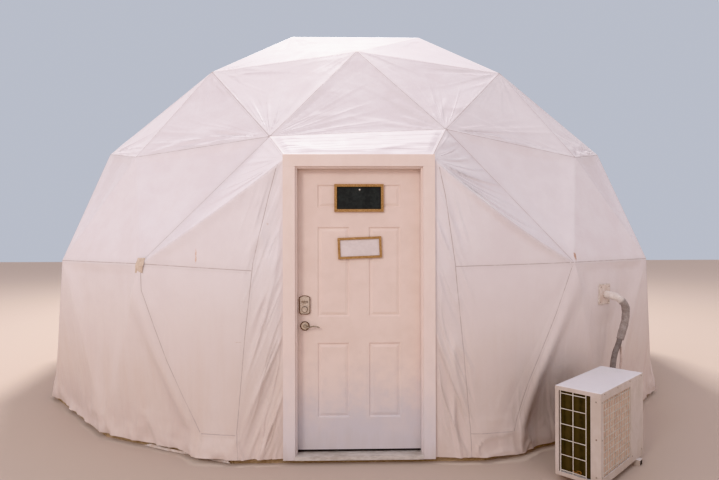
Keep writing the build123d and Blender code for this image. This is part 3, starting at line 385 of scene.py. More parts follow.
RIGID_LOOKS = {
    "galvanised_tube": ((0.62, 0.63, 0.64), (0.45, 0.46, 0.47), 30.0, {"shine": (0.3, 0.55), "metal": 0.9}),
    "hub_steel": ((0.55, 0.55, 0.56), (0.38, 0.38, 0.38), 40.0, {"shine": (0.3, 0.5), "metal": 0.9}),
    # The foot colours of the trim and the leaf are painted cool shade near the ground.
    "painted_trim": ((0.88, 0.765, 0.715), (0.855, 0.735, 0.68), 5.0,
                     {"stretch": (1, 1, 0.5), "shine": (0.45, 0.6), "relief": (160.0, 0.0004), "dirt": 0.35,
                      "reach": 0.18, "foot": (0.755, 0.70, 0.71)}),
    "painted_leaf": ((0.86, 0.725, 0.66), (0.82, 0.68, 0.615), 3.0,
                     {"shine": (0.38, 0.5), "relief": (220.0, 0.0002), "dirt": 0.25, "reach": 0.2,
                      "foot": (0.67, 0.635, 0.665)}),
    "black_rubber": ((0.035, 0.034, 0.033), (0.02, 0.02, 0.02), 40.0, {"shine": (0.6, 0.8)}),
    "sill_metal": ((0.74, 0.70, 0.66), (0.55, 0.50, 0.45), 12.0,
                   {"stretch": (0.4, 1, 1), "shine": (0.4, 0.6), "metal": 0.3}),
    "nickel": ((0.60, 0.53, 0.44), (0.33, 0.27, 0.21), 60.0,
               {"shine": (0.16, 0.34), "metal": 1.0, "relief": (900.0, 0.00005)}),
    "guard_bars": ((0.74, 0.70, 0.64), (0.62, 0.56, 0.49), 20.0, {"shine": (0.4, 0.6)}),
    "fan_plastic": ((0.36, 0.32, 0.27), (0.24, 0.21, 0.18), 10.0, {"shine": (0.5, 0.7)}),
    "valve_brass": ((0.70, 0.52, 0.27), (0.48, 0.34, 0.16), 60.0, {"shine": (0.2, 0.4), "metal": 1.0}),
    # The casing's top colour is a painted reflection of the sky on its lid and other faces that look up.
    "casing_paint": ((0.67, 0.585, 0.535), (0.60, 0.515, 0.455), 5.0,
                     {"stretch": (1, 1, 0.6), "shine": (0.38, 0.55), "relief": (400.0, 0.0002), "dirt": 0.45,
                      "reach": 0.16, "top": (0.86, 0.87, 0.92)}),
    "plate_plastic": ((0.80, 0.70, 0.64), (0.70, 0.58, 0.50), 20.0, {"shine": (0.5, 0.7)}),
}
finishes = {name: rigid_finish(name, pale, dark, scale, **more)
            for name, (pale, dark, scale, more) in RIGID_LOOKS.items()}
finishes["weathered_timber"] = wood_finish("weathered_timber", (0.66, 0.48, 0.29), (0.32, 0.21, 0.12),
                                           (0.25, 0.25, 3.0), 26.0, 0.8, 0.002, dirt=0.35)
finishes["rough_timber"] = wood_finish("rough_timber", (0.66, 0.48, 0.30), (0.45, 0.30, 0.17),
                                       (3, 3, 0.15), 14.0, 0.7)
print(len(finishes), "finishes of rigid parts")

# %% [markdown]
# The deck is one solid plate, so its boards are drawn by the finish. Dividing the place across them by their
# width and rounding down gives each row a number, and every row shifts the grain and takes its own tone.

# %% Deck boards
BOARD_WIDE = 0.14


def deck_finish(name, pale, dark, shine=0.55):
    """Boards side by side: the row's number shifts the grain and sets the tone, and a groove in painted shade
    parts them.
    """
    finish, tree, shader, spot = new_finish(name)
    across = reckon(tree, "DIVIDE", part_of(tree, spot, "Y"), BOARD_WIDE)
    row = reckon(tree, "FLOOR", across)
    shift = add(tree, "ShaderNodeCombineXYZ", {"X": reckon(tree, "MULTIPLY", row, 3.7)})
    moved = reckon_vector(tree, "ADD", spot, shift.outputs[0])
    grain = place_effect(tree, wood_grain, {"Vector": moved, "Stretch": (0.12, 3, 3), "Scale": 8.0,
                                            "Pale": (*pale, 1), "Dark": (*dark, 1)})
    scattered = reckon(tree, "MULTIPLY", reckon(tree, "SINE", reckon(tree, "MULTIPLY", row, 12.99)), 437.6)
    tone = reckon(tree, "FRACT", scattered)
    colour = tinted(tree, grain["Color"], (0.30, 0.19, 0.11), tone, 0.45)
    # Painted shade: the gap between two boards is near black, and the relief sinks it.
    gap = ramp(tree, off_half(tree, reckon(tree, "FRACT", across)), 0.480, 0.488)
    tree.links.new(blend_colours(tree, gap, colour, (0.03, 0.02, 0.015)), shader.inputs["Base Color"])
    shader.inputs["Roughness"].default_value = shine
    height = reckon(tree, "SUBTRACT", reckon(tree, "MULTIPLY", grain["Height"], 0.3), gap)
    raise_relief(tree, shader, height, 0.002, 0.7)
    return finish


finishes["floor_boards"] = deck_finish("floor_boards", (0.52, 0.38, 0.25), (0.33, 0.22, 0.13))
print("boards", BOARD_WIDE * 1000, "mm wide")

# %% [markdown]
# Sign frames are cut from a honey-coloured board, so their grain runs along each rail. The boards are
# painted flat: the upper one nearly black, the lower one off-white. Both are left bare. They are one node,
# so the finish chooses its colour by height.

# %% Signs
LOWER_SIGN_TOP = 1.64


def sign_board_finish():
    """Chalky black above the lower sign's top edge, matte off-white below it."""
    finish, tree, shader, spot = new_finish("sign_board")
    upper = reckon(tree, "GREATER_THAN", part_of(tree, spot, "Z"), LOWER_SIGN_TOP)
    chalk = clouds_of(tree, spot, 14.0)
    black = blend_colours(tree, chalk, (0.018, 0.024, 0.024), (0.045, 0.055, 0.055))
    white = blend_colours(tree, chalk, (0.74, 0.67, 0.66), (0.80, 0.73, 0.72))
    tree.links.new(blend_colours(tree, upper, white, black), shader.inputs["Base Color"])
    tree.links.new(ramp(tree, chalk, 0.0, 1.0, 0.55, 0.75), shader.inputs["Roughness"])
    return finish


finishes["sign_wood"] = wood_finish("sign_wood", (0.62, 0.38, 0.17), (0.36, 0.19, 0.07), (2, 2, 2), 18.0, 0.5)
finishes["sign_board"] = sign_board_finish()
print("signs are bare")

# %% [markdown]
# The coil is a stack of thin fins a couple of millimetres apart, dark in its depth. Single fins are far
# too small to model, so fine vertical stripes stand for them in colour and relief, and the near-black
# between the stripes is painted shade of that depth.

# %% Coil fins
FIN_PITCH = 0.0022


def coil_finish():
    """Stripes of the fin pitch along both level directions: dark olive fins with near-black painted shade
    between them, under dust.
    """
    finish, tree, shader, spot = new_finish("coil_fins")
    level = reckon(tree, "ADD", part_of(tree, spot, "X"), part_of(tree, spot, "Y"))
    phase = reckon(tree, "FRACT", reckon(tree, "MULTIPLY", level, 1 / FIN_PITCH))
    fin = ramp(tree, off_half(tree, phase), 0.1, 0.4)
    # Painted shade: near black between the fins, where the coil is deep.
    depth = blend_colours(tree, fin, (0.028, 0.024, 0.012), (0.075, 0.06, 0.028))
    dusty = tinted(tree, depth, (0.11, 0.08, 0.04), clouds_of(tree, spot, 9.0), 0.5)
    tree.links.new(dusty, shader.inputs["Base Color"])
    shader.inputs["Roughness"].default_value = 0.6
    shader.inputs["Metallic"].default_value = 0.4
    raise_relief(tree, shader, fin, 0.001, 0.5)
    return finish


finishes["coil_fins"] = coil_finish()
print("fins every", FIN_PITCH * 1000, "mm")

# %% [markdown]
# The deadbolt's plate and the round rose under the lever are old nickel. They are pale on their faces, and
# dark on the raised rim, the keys and the outer edges of the round parts. The rim is known by its depth and
# the round edges by their distance from the latch's axis.

# %% Deadbolt and rose
LATCH_X, LEVER_Z, LOCK_Z, LEAF_FRONT = -0.391, 0.964, 1.084, -3.3038


def lock_finish():
    """Pale nickel, dark on the raised rim and keys and beyond a radius on the turn and the rose."""
    finish = rigid_finish("lock_plate", (0.78, 0.70, 0.62), (0.66, 0.56, 0.46), 30.0, shine=(0.18, 0.32),
                          metal=0.75, relief=(900.0, 0.00005))
    tree = finish.node_tree
    shader = tree.nodes["Principled BSDF"]
    plain = shader.inputs["Base Color"].links[0].from_socket
    spot = add(tree, "ShaderNodeTexCoord").outputs["Object"]
    out = reckon(tree, "SUBTRACT", LEAF_FRONT, part_of(tree, spot, "Y"))
    dark = reckon(tree, "MULTIPLY", ramp(tree, out, 0.0124, 0.0130), ramp(tree, out, 0.0152, 0.0146))
    for height, edge, low, high in ((LOCK_Z, 0.0165, 0.016, 0.030), (LEVER_Z, 0.0245, 0.001, 0.010)):
        away = reckon_vector(tree, "SUBTRACT", spot, (LATCH_X, 0, height))
        far = reckon_vector(tree, "LENGTH", reckon_vector(tree, "MULTIPLY", away, (1, 0, 1)))
        rim = reckon(tree, "MULTIPLY", ramp(tree, far, edge, edge + 0.004), ramp(tree, far, 0.038, 0.036))
        near = reckon(tree, "MULTIPLY", ramp(tree, out, low - 0.001, low),
                      ramp(tree, out, high + 0.001, high))
        dark = reckon(tree, "MAXIMUM", dark, reckon(tree, "MULTIPLY", rim, near))
    tree.links.new(blend_colours(tree, dark, plain, (0.13, 0.075, 0.05)), shader.inputs["Base Color"])
    return finish


finishes["lock_plate"] = lock_finish()
print("latch axis at", LATCH_X, LEVER_Z)

# %% [markdown]
# The cover is a coated polyester membrane, white but never plain: triangular panels are welded together
# with laps that show as thin grey lines, dust lies in the folds, and the foot of the wall is stained by
# splashes. Each mesh carries how far its points are from the welds, and the finish reads those attributes.
# Folds finer than the mesh are relief too: they follow a UV map whose first number runs across the folds
# and whose second runs along them, so they point the way the cloth is pulled.

# %% A stain at one place
stain, coming, going = new_effect(
    "stain",
    [("Vector", "Vector", None), ("Centre", "Vector", (0, 0, 0)), ("Size", "Vector", (0.01, 0.01, 0.01))],
    [("Mask", "Float")])
away = reckon_vector(stain, "SUBTRACT", coming["Vector"], coming["Centre"])
far = reckon_vector(stain, "LENGTH", reckon_vector(stain, "DIVIDE", away, coming["Size"]))
ragged = noise(stain, coming["Vector"], 60.0, Detail=3.0)
uneven = reckon(stain, "ADD", far, reckon(stain, "SUBTRACT", ragged, 0.5))
stain.links.new(ramp(stain, uneven, 0.5, 1.0, 1.0, 0.0), going["Mask"])
STAINS = [((-1.175, -3.41, 1.462), (0.010, 0.2, 0.072), (0.70, 0.44, 0.30), 0.8),
          ((-0.655, -3.60, 1.70), (0.030, 0.3, 0.020), (0.60, 0.42, 0.30), 0.5),
          ((-0.860, -3.46, 0.857), (0.030, 0.2, 0.006), (0.55, 0.40, 0.30), 0.5),
          ((1.640, -3.15, 1.455), (0.014, 0.1, 0.035), (0.50, 0.25, 0.13), 0.8)]
print(len(STAINS), "stains")

# %% [markdown]
# The finish of the membrane is put together from three functions. The first finds the nearest seam, the
# second lays dust, rain streaks, splashes, seam lines and stains over the white one after another, and the
# third adds up the heights of folds, crumples, laps and weave.

# %% Membrane
WELD, UPRIGHT_SEAM, LEVEL_SEAM, FOLD_DEPTH = "weld_distance", "upright_seam", "level_seam", "fold_depth"
FOLD_MAP = "folds"
LAP_HALF, LINE_HALF = 0.017, 0.0026


def attribute(tree, name):
    """A number that the mesh carries at each point, by its name."""
    return add(tree, "ShaderNodeAttribute", attribute_name=name).outputs["Fac"]


def seam_distance(tree):
    """Distance from the nearest weld or seam: the least that the three attributes say."""
    weld = attribute(tree, WELD)
    for seam in (UPRIGHT_SEAM, LEVEL_SEAM):
        weld = reckon(tree, "MINIMUM", weld, reckon(tree, "ABSOLUTE", attribute(tree, seam)))
    return weld


def soiled_white(tree, spot, weld, clouds):
    """White, darker and warmer towards the ground, with rain streaks, splashes, broken grey seam lines and
    stains.
    """
    height = part_of(tree, spot, "Z")
    colour = blend_colours(tree, clouds, (0.86, 0.82, 0.84), (0.825, 0.775, 0.795))
    # The white turns darker and warmer from 1.75 m down to 0.5 m.
    colour = tinted(tree, colour, (0.755, 0.655, 0.605), ramp(tree, height, 1.75, 0.5), 0.85)
    rain = clouds_of(tree, spot, 7.0, Stretch=(1, 1, 0.08), Low=0.48, High=0.8)
    low = ramp(tree, height, 1.5, 0.2)
    colour = tinted(tree, colour, (0.66, 0.52, 0.43), rain, ramp(tree, low, 0, 1, 0.06, 0.24))
    grime = place_effect(tree, ground_dirt, {"Vector": spot, "Reach": 0.8, "Scale": 4.0})["Mask"]
    colour = tinted(tree, colour, (0.64, 0.47, 0.38), grime, 0.30)
    colour = tinted(tree, colour, (0.56, 0.49, 0.46), ramp(tree, weld, 0.0, 0.05, 1.0, 0.0), 0.08)
    broken = clouds_of(tree, spot, 5.0, Low=0.3, High=0.6)
    line = ramp(tree, weld, LINE_HALF * 0.6, LINE_HALF * 1.6, 0.72, 0.0)
    colour = tinted(tree, colour, (0.44, 0.36, 0.34), line, ramp(tree, broken, 0, 1, 0.45, 1.0))
    for centre, size, tint, strength in STAINS:
        mark = place_effect(tree, stain, {"Vector": spot, "Centre": centre, "Size": size})["Mask"]
        colour = tinted(tree, colour, tint, mark, strength)
    return colour


def cloth_height(tree, spot, weld):
    """Height in metres: folds along the fold map, then crumples, the raised laps and the weave."""
    along = add(tree, "ShaderNodeUVMap", uv_map=FOLD_MAP).outputs[0]
    wave = noise(tree, along, 0.75, Detail=1.5, Roughness=0.5)
    crest = ramp(tree, off_half(tree, wave), 0.0, 0.1, 0.8, 0.0)
    swing = reckon(tree, "SUBTRACT", reckon(tree, "ADD", crest, wave), 0.75)
    height = reckon(tree, "MULTIPLY", swing, attribute(tree, FOLD_DEPTH))
    for part, metres in ((noise(tree, spot, 5.0, Detail=4.0, Roughness=0.5, Distortion=0.4), 0.004),
                         (ramp(tree, weld, LAP_HALF * 0.9, LAP_HALF, 1.0, 0.0), 0.0008),
                         (noise(tree, spot, 500.0, Detail=1.0), 0.0002)):
        height = reckon(tree, "ADD", height, reckon(tree, "MULTIPLY", part, metres))
    return height


def membrane_finish():
    """White cloth with weld lines, laps, mottled dust, ground dirt and fine folds."""
    finish, tree, shader, spot = new_finish("white_membrane")
    weld, clouds = seam_distance(tree), clouds_of(tree, spot, 1.6)
    tree.links.new(soiled_white(tree, spot, weld, clouds), shader.inputs["Base Color"])
    tree.links.new(ramp(tree, clouds, 0.0, 1.0, 0.46, 0.60), shader.inputs["Roughness"])
    raise_relief(tree, shader, cloth_height(tree, spot, weld), 1.0, 0.9)
    return finish


finishes["white_membrane"] = membrane_finish()
print("membrane: laps", LAP_HALF * 2000, "mm wide")

# %% [markdown]
# The CAD nodes that are already right keep their shapes and take these finishes through their material
# slots. Which finish a node takes is written in the model's own record.

# %% Dress the rigid parts
slot_of = {part["node"]: part["material_slot"] for part in frame["record"]["subparts"]}
for node, slot in slot_of.items():
    if slot in finishes:
        solid = frame["nodes"][node]
        for place in solid.material_slots:
            place.material = finishes["lock_plate"] if node == "door_lock" else finishes[slot]
print("dressed", sum(slot in finishes for slot in slot_of.values()), "of", len(slot_of), "nodes")

# %% [markdown]
# The cover follows the frame, so the hubs are worked out again here in the way the frame was made: an
# icosahedron's upper corners and its lower ones, subdivided three times, pushed out to the sphere, and
# then moved as the built rings stand. Numpy keeps each hub as a row of three numbers.

# %% Hubs of the frame
DOME_RADIUS = 3.5
CENTRE = np.array([0.0, 0.0, 0.66])
FACES_ROUND = 5
FACE_TURN = 360 / FACES_ROUND
UPPER_LATITUDE = math.atan(1 / 2)
RING_SHIFTS = {"crest": (0.030, -0.065, 0), "shoulder": (-0.025, -0.010, 0), "dimple": (-0.020, -0.100, 0),
               "apex": (0.050, 0.050, 0), "eave_a": (-0.030, -0.010, 0), "eave_b": (-0.030, -0.010, 0),
               "waist_a": (0.105, 0.145, 2.75), "waist_b": (0.105, 0.145, -2.75),
               "waist_m": (0.010, 0.015, 0)}
LEFT_EAVE_DROP = 0.060
BASE_HUB_HEIGHT = 0.058
DOOR_HUB_TURN = 3.1


def ring_point(turn, radius, height):
    """Turn in degrees from the door side, towards the right of someone facing the door."""
    angle = math.radians(turn)
    return np.array([radius * math.sin(angle), -radius * math.cos(angle), height])


def upper_corner(k):
    """Corner above the icosahedron's middle, half a face's turn past the lower one."""
    return ring_point(FACE_TURN * (k + 0.5), math.cos(UPPER_LATITUDE), math.sin(UPPER_LATITUDE))


def lower_corner(k):
    """Corner below the middle, at the same latitude downwards."""
    return ring_point(FACE_TURN * k, math.cos(UPPER_LATITUDE), -math.sin(UPPER_LATITUDE))


def settle(weights, out=0.0, rise=0.0, turn=0.0):
    """A weighted sum of corners, pushed out to the sphere, then moved out, up and round."""
    total = sum(weight * corner for weight, corner in weights)
    spot = unit(total) * DOME_RADIUS
    angle = math.degrees(math.atan2(spot[0], -spot[1])) + turn
    return ring_point(angle, math.hypot(spot[0], spot[1]) + out, spot[2] + CENTRE[2] + rise)


def dome_hubs():
    """Every hub of the dome, by ring and face."""
    crown = np.array([0.0, 0.0, 1.0])
    hubs = {("crown", 0): settle([(1, crown)])}
    for k in range(FACES_ROUND):
        before, this, after = upper_corner(k - 1), upper_corner(k), upper_corner(k + 1)
        foot, next_foot = lower_corner(k), lower_corner(k + 1)
        made_of = {"crest": [(2, crown), (1, this)], "shoulder": [(1, crown), (2, this)],
                   "dimple": [(1, crown), (1, this), (1, before)], "apex": [(1, this)],
                   "eave_a": [(2, this), (1, before)], "eave_b": [(2, this), (1, after)],
                   "waist_a": [(2, this), (1, foot)], "waist_b": [(2, this), (1, next_foot)],
                   "waist_m": [(1, this), (1, before), (1, foot)]}
        for ring, weights in made_of.items():
            hubs[ring, k] = settle(weights, *RING_SHIFTS[ring])
        for ring, weights in (("base_a", [(1, this), (2, foot)]), ("base_b", [(1, this), (2, next_foot)]),
                              ("base_m", [(1, this), (1, foot), (1, next_foot)])):
            turn = {("base_a", 0): DOOR_HUB_TURN, ("base_b", 4): -DOOR_HUB_TURN}.get((ring, k), 0.0)
            hubs[ring, k] = settle(weights, turn=turn)
            hubs[ring, k][2] = BASE_HUB_HEIGHT
    hubs["eave_b", 4][2] -= LEFT_EAVE_DROP
    return hubs


HUBS = dome_hubs()
print(len(HUBS), "hubs")

# %% [markdown]
# Three hubs at a time carry a triangular panel. The pattern repeats five times round the dome, so it is
# written once for the roof and once for the wall, with the number of the face left open. Where the doorway
# is, one hub is missing, and with it the panels that would meet there.

# %% Panels between the hubs
def roof_panels(k):
    """Triangles of one side from the crown down to the eave, each as its three hubs."""
    j = (k - 1) % FACES_ROUND
    crown, dimple = ("crown", 0), ("dimple", k)
    return [(crown, ("crest", j), ("crest", k)),
            (("crest", j), ("shoulder", j), dimple),
            (("crest", j), dimple, ("crest", k)),
            (("crest", k), dimple, ("shoulder", k)),
            (("shoulder", j), ("apex", j), ("eave_b", j)),
            (("shoulder", j), ("eave_b", j), dimple),
            (dimple, ("eave_b", j), ("eave_a", k)),
            (dimple, ("eave_a", k), ("shoulder", k)),
            (("shoulder", k), ("eave_a", k), ("apex", k))]


def wall_panels(k):
    """Triangles of one side from the eave down to the base, each as its three hubs."""
    j = (k - 1) % FACES_ROUND
    mid, foot = ("waist_m", k), ("base_m", k)
    return [(("apex", j), ("waist_b", j), ("eave_b", j)),
            (("eave_b", j), ("waist_b", j), mid),
            (("eave_b", j), mid, ("eave_a", k)),
            (("eave_a", k), mid, ("waist_a", k)),
            (("eave_a", k), ("waist_a", k), ("apex", k)),
            (("apex", k), ("waist_a", k), ("waist_b", k)),
            (("waist_b", j), ("base_b", j), mid),
            (mid, ("base_b", j), ("base_a", k)),
            (mid, ("base_a", k), ("waist_a", k)),
            (("waist_a", k), ("base_a", k), foot),
            (("waist_a", k), foot, ("waist_b", k)),
            (("waist_b", k), foot, ("base_b", k))]


DOORWAY_HUB = ("waist_m", 0)
ALL_PANELS = [panel for k in range(FACES_ROUND) for panel in roof_panels(k) + wall_panels(k)]
print(len(ALL_PANELS), "panels, the doorway's among them")

# %% [markdown]
# The cloth lies a little outside the hubs, along the direction in which each of them looks. That direction
# is the mean of the normals of all panels that meet there. The plate for the pipes sits on the solid cover,
# so its place is found on that surface by shares of the three corners of its panel.

# %% Where the cloth passes the hubs
def facing_of(corners):
    """Outward unit normal of three points."""
    normal = unit(np.cross(corners[1] - corners[0], corners[2] - corners[0]))
    return normal if normal @ (corners[0] - CENTRE) > 0 else -normal


def hub_out(key):
    """Outward direction at a hub: straight out at the base, and the mean of its panels elsewhere."""
    if key[0].startswith("base"):
        return unit(HUBS[key] * (1, 1, 0))
    return unit(sum(facing_of([HUBS[corner] for corner in panel]) for panel in ALL_PANELS if key in panel))


CLOTH_LIFT = 0.0198           # outer face of the cloth above the hub centres
HEM_OUT, HEM_RISE = 0.0290, 0.037


def cloth_spot(key):
    """Where the cloth's outer face passes over a hub, or hangs outside a base hub."""
    if key[0].startswith("base"):
        spot = HUBS[key] + hub_out(key) * HEM_OUT
        spot[2] = HEM_RISE
        return spot
    return HUBS[key] + hub_out(key) * CLOTH_LIFT


PLATE_PANEL = (("waist_a", 0), ("base_m", 0), ("waist_b", 0))
PLATE_SHARES = (0.512, 0.194, 0.294)
SOLID_LIFT, SOLID_HEM_OUT, SOLID_HEM_RISE, SOLID_FACE = 0.0175, 0.027, 0.028, 0.0033


def solid_spot(key):
    """Inner face of the solid cover over a hub, which the plate and the pipes were placed by."""
    if key[0].startswith("base"):
        return HUBS[key] * (1, 1, 0) + hub_out(key) * SOLID_HEM_OUT + np.array([0, 0, SOLID_HEM_RISE])
    return HUBS[key] + hub_out(key) * SOLID_LIFT


plate_corners = [solid_spot(key) for key in PLATE_PANEL]
PLATE_OUT = facing_of(plate_corners)
PLATE_SPOT = (sum(share * corner for share, corner in zip(PLATE_SHARES, plate_corners))
              + PLATE_OUT * SOLID_FACE)
print("the plate for the pipes is at", PLATE_SPOT.round(4))

# %% [markdown]
# Cloth needs an uneven surface that never repeats. The drift below is a smooth random field: every corner
# of a grid of cells gets a fixed random number, and points between blend the eight numbers round them. It
# is a formula of place and seed, so the same run always gives the same folds, and two panels that share an
# edge get the same value along it.

# %% Smooth random field
CELL_PRIMES, SEED_STEP, STIR = np.array([73856093, 19349663, 83492791]), 2654435761, 1274126177


def eased(values, low, high):
    """0 below low and 1 above high, with no corner at either."""
    share = np.clip((values - low) / (high - low), 0, 1)
    return share * share * (3 - 2 * share)


def drift(points, size, seed=0):
    """Values from -1 to 1: a random number at each corner of cells of the given size, blended between."""
    place = np.asarray(points, float) / np.asarray(size, float)
    cell = np.floor(place).astype(np.int64)
    part = place - cell
    part = part * part * (3 - 2 * part)
    total = np.zeros(len(place))
    for corner in itertools.product((0, 1), repeat=place.shape[1]):
        key = (cell + corner) @ CELL_PRIMES[:place.shape[1]] + seed * SEED_STEP
        key = (key ^ (key >> 13)) * STIR
        key = (key ^ (key >> 16)) & 0xFFFF
        total += np.prod(np.where(corner, part, 1 - part), axis=1) * key / 0xFFFF
    return total * 2 - 1


sample = drift(np.random.default_rng(1).random((1000, 3)) * 5, 0.3)
print("drift runs from", sample.min().round(2), "to", sample.max().round(2))

# %% [markdown]
# Folds fan out from the corners that the cloth is pulled towards, and below the waist they hang upright. Both
# are a drift drawn out in one direction: its value at a point becomes the height of a fold. Each function
# also gives the map that the finish needs for finer folds, whose first number runs across the folds.

# %% Folds
def ripple(seed, *places):
    """Drift over cells of one, at places given number by number."""
    return drift(np.stack(places, -1), 1.0, seed)


def fold_shape(wave):
    """Half a smooth wave and half sharp crests, which stand where the wave passes through zero."""
    return 0.45 * wave + 0.55 * (np.exp(-(wave / 0.17) ** 2) - 0.35)


def fan_folds(shares, corners, corner, pull, seed):
    """Folds from one corner, the map across and along them, and their depth: a drift of the angle share,
    growing away from the corner and fading over the pull's length. A fourth number of the pull, from 0 to
    1, is the angle share that the folds keep near."""
    after, before = (corner + 1) % 3, (corner + 2) % 3
    angle = shares[:, before] / np.maximum(shares[:, before] + shares[:, after], 1e-9)
    reach = np.linalg.norm(shares @ corners - corners[corner], axis=1)
    depth, folds, length = pull[:3]
    wave = ripple(seed, angle * folds, reach / length * 0.9)
    fade = eased(reach, 0.0, 0.3 * length) * np.exp(-(reach / length) ** 2)
    if len(pull) > 3:
        fade = fade * np.exp(-((angle - pull[3]) / 0.33) ** 2)
    return depth * fade * fold_shape(wave), np.stack([angle * folds + seed * 3.7, reach], -1), depth * fade


WALL_RADIUS = 3.44


def round_wall(points):
    """Length round the wall: the bearing from the door times the wall's radius."""
    return np.arctan2(points[:, 0], -points[:, 1]) * WALL_RADIUS


def upright_folds(points):
    """Folds that hang straight down: a drift of the length round the wall, deeper towards the ground."""
    length, height = round_wall(points), points[:, 2]
    wave = ripple(61, length * 5.5, height * 0.9)
    depth = 0.004 + 0.008 * (1 - eased(height, 0.1, 1.3))
    return depth * fold_shape(wave), np.stack([length * 9, height * 0.8], -1), depth


print("a fold's height runs from", fold_shape(np.linspace(-1, 1, 101)).min().round(2), "to",
      fold_shape(np.linspace(-1, 1, 101)).max().round(2))

# %% [markdown]
# A triangular panel is a surface of two parameters: the shares of its second and third corner. All points
# with shares of one over n are worked out at once. The cloth leaves the flat triangle in three ways. It
# sags a little between the tubes, it is drawn into folds, and it wanders slightly everywhere. All three
# die away at the edges, where it lies on a tube.

# %% One panel of cloth
def triangle_grid(n):
    """Shares of the three corners at every point, and the faces between, turning as the corners do."""
    i, j = np.meshgrid(np.arange(n + 1), np.arange(n + 1), indexing="ij")
    kept = i + j <= n
    index = np.full(i.shape, -1)
    index[kept] = np.arange(kept.sum())
    shares = np.stack([n - i - j, i, j], -1)[kept] / n
    a, b, c, d = index[:-1, :-1], index[1:, :-1], index[:-1, 1:], index[1:, 1:]
    first = np.stack([a, b, c], -1)[(b >= 0) & (c >= 0)]
    second = np.stack([b, d, c], -1)[(b >= 0) & (c >= 0) & (d >= 0)]
    return shares, np.concatenate([first, second])


def fabric_panel(corners, outward, n, pulls, sag, seed, bulge=None, weld_sides=(0, 1, 2), upright=False,
                 rolled=(), ridge=None):
    """Arrays of one panel. Point = corners by shares + lift along the blended outward directions; a bulge
    moves the side opposite a corner by 4 b c times its vector, b and c being the other two shares. Below a
    rolled side the cloth falls back behind the tube, and along a ridge side it stands up in a narrow fold."""
    order = [0, 1, 2]
    if np.cross(corners[1] - corners[0], corners[2] - corners[0]) @ outward.sum(0) < 0:
        order = [0, 2, 1]
        pulls = [pull[:3] + tuple(1 - kept for kept in pull[3:]) for pull in pulls]
    corners, outward, pulls = corners[order], outward[order], [pulls[i] for i in order]
    weld_sides, rolled = [order[side] for side in weld_sides], [order[side] for side in rolled]
    shares, faces = triangle_grid(n)
    flat = shares @ corners
    up = unit(shares @ outward)
    sides = np.linalg.norm(corners[[2, 0, 1]] - corners[[1, 2, 0]], axis=1)
    twice_area = np.linalg.norm(np.cross(corners[1] - corners[0], corners[2] - corners[0]))
    to_side = shares * (twice_area / sides)
    edge = to_side.min(axis=1)
    held = eased(edge, 0.002, 0.045)
    fans = [fan_folds(shares, corners, i, pulls[i], seed * 3 + i) for i in range(3)]
    strongest = fans[int(np.argmax([pull[0] for pull in pulls]))]
    lift = -sag * 27 * shares.prod(axis=1)
    if upright:
        hung, fold_map, depth = upright_folds(flat)
        lift += held * (hung + 0.3 * sum(fan[0] for fan in fans))
    else:
        lift += held * sum(fan[0] for fan in fans)
        fold_map, depth = strongest[1:]
    for side in rolled:
        others = to_side[:, [(side + 1) % 3, (side + 2) % 3]].min(axis=1)
        lift -= 0.013 * eased(to_side[:, side], 0.004, 0.085) * eased(others, 0.0, 0.16)
    if ridge:
        side, height, width = order[ridge[0]], ridge[1], ridge[2]
        ends = np.clip(4 * shares[:, (side + 1) % 3] * shares[:, (side + 2) % 3], 0, 1)
        lift += height * ends * np.exp(-(to_side[:, side] / width) ** 2)
    lift += eased(edge, 0.0, 0.08) * (0.004 * drift(flat, 0.45, 11) + 0.0012 * drift(flat, 0.16, 12))
    lift *= eased(np.linalg.norm(flat - PLATE_SPOT, axis=1), 0.11, 0.3)
    points = flat + up * lift[:, None]
    if bulge:
        side, vector = order[bulge[0]], np.asarray(bulge[1])
        points += 4 * (shares[:, (side + 1) % 3] * shares[:, (side + 2) % 3])[:, None] * vector
    weld = to_side[:, weld_sides].min(axis=1) if weld_sides else np.full(len(flat), 1.0)
    return {"points": points, "faces": faces, WELD: weld, "map": fold_map, FOLD_DEPTH: 0.3 * depth * held,
            UPRIGHT_SEAM: np.ones(len(flat)), LEVEL_SEAM: np.ones(len(flat)), "area": twice_area / 2,
            "edge": edge}


print("a panel of 48 has", len(triangle_grid(48)[1]), "faces")

# %% [markdown]
# Cloth and small parts alike are meshes of triangles that start as numpy arrays. Grids and stacks of rings
# give quads, and each quad is halved. In a stack of rings the last point of a ring meets its first, so a
# roll of the ring's numbers gives every point its neighbour.

# %% Helpers for meshes
def halves(quads):
    """Two triangles for each quad."""
    return np.concatenate([quads[:, [0, 1, 2]], quads[:, [0, 2, 3]]])


def grid_quads(shape):
    """Quads between the points of a grid."""
    index = np.arange(math.prod(shape)).reshape(shape)
    return np.stack([index[:-1, :-1], index[1:, :-1], index[1:, 1:], index[:-1, 1:]], -1).reshape(-1, 4)


def ring_quads(before, after):
    """Quads between rings and the rings that follow them."""
    return np.stack([before, np.roll(before, -1, 1), np.roll(after, -1, 1), after], -1).reshape(-1, 4)


def capped_rings(rings, around):
    """Triangles of a stack of rings with two caps; the middles of the caps are the two points after them."""
    index = np.arange(rings * around).reshape(rings, around)
    start, end = np.full(around, rings * around), np.full(around, rings * around + 1)
    return np.concatenate([halves(ring_quads(index[:-1], index[1:])),
                           np.stack([np.roll(index[0], -1), index[0], start], -1),
                           np.stack([index[-1], np.roll(index[-1], -1), end], -1)])


def stacked(parts):
    """Points and faces of several parts as one pair, each part's faces counting from its own points."""
    starts = np.cumsum([0] + [len(points) for points, _ in parts[:-1]])
    return (np.concatenate([points for points, _ in parts]),
            np.concatenate([faces + start for (_, faces), start in zip(parts, starts)]))


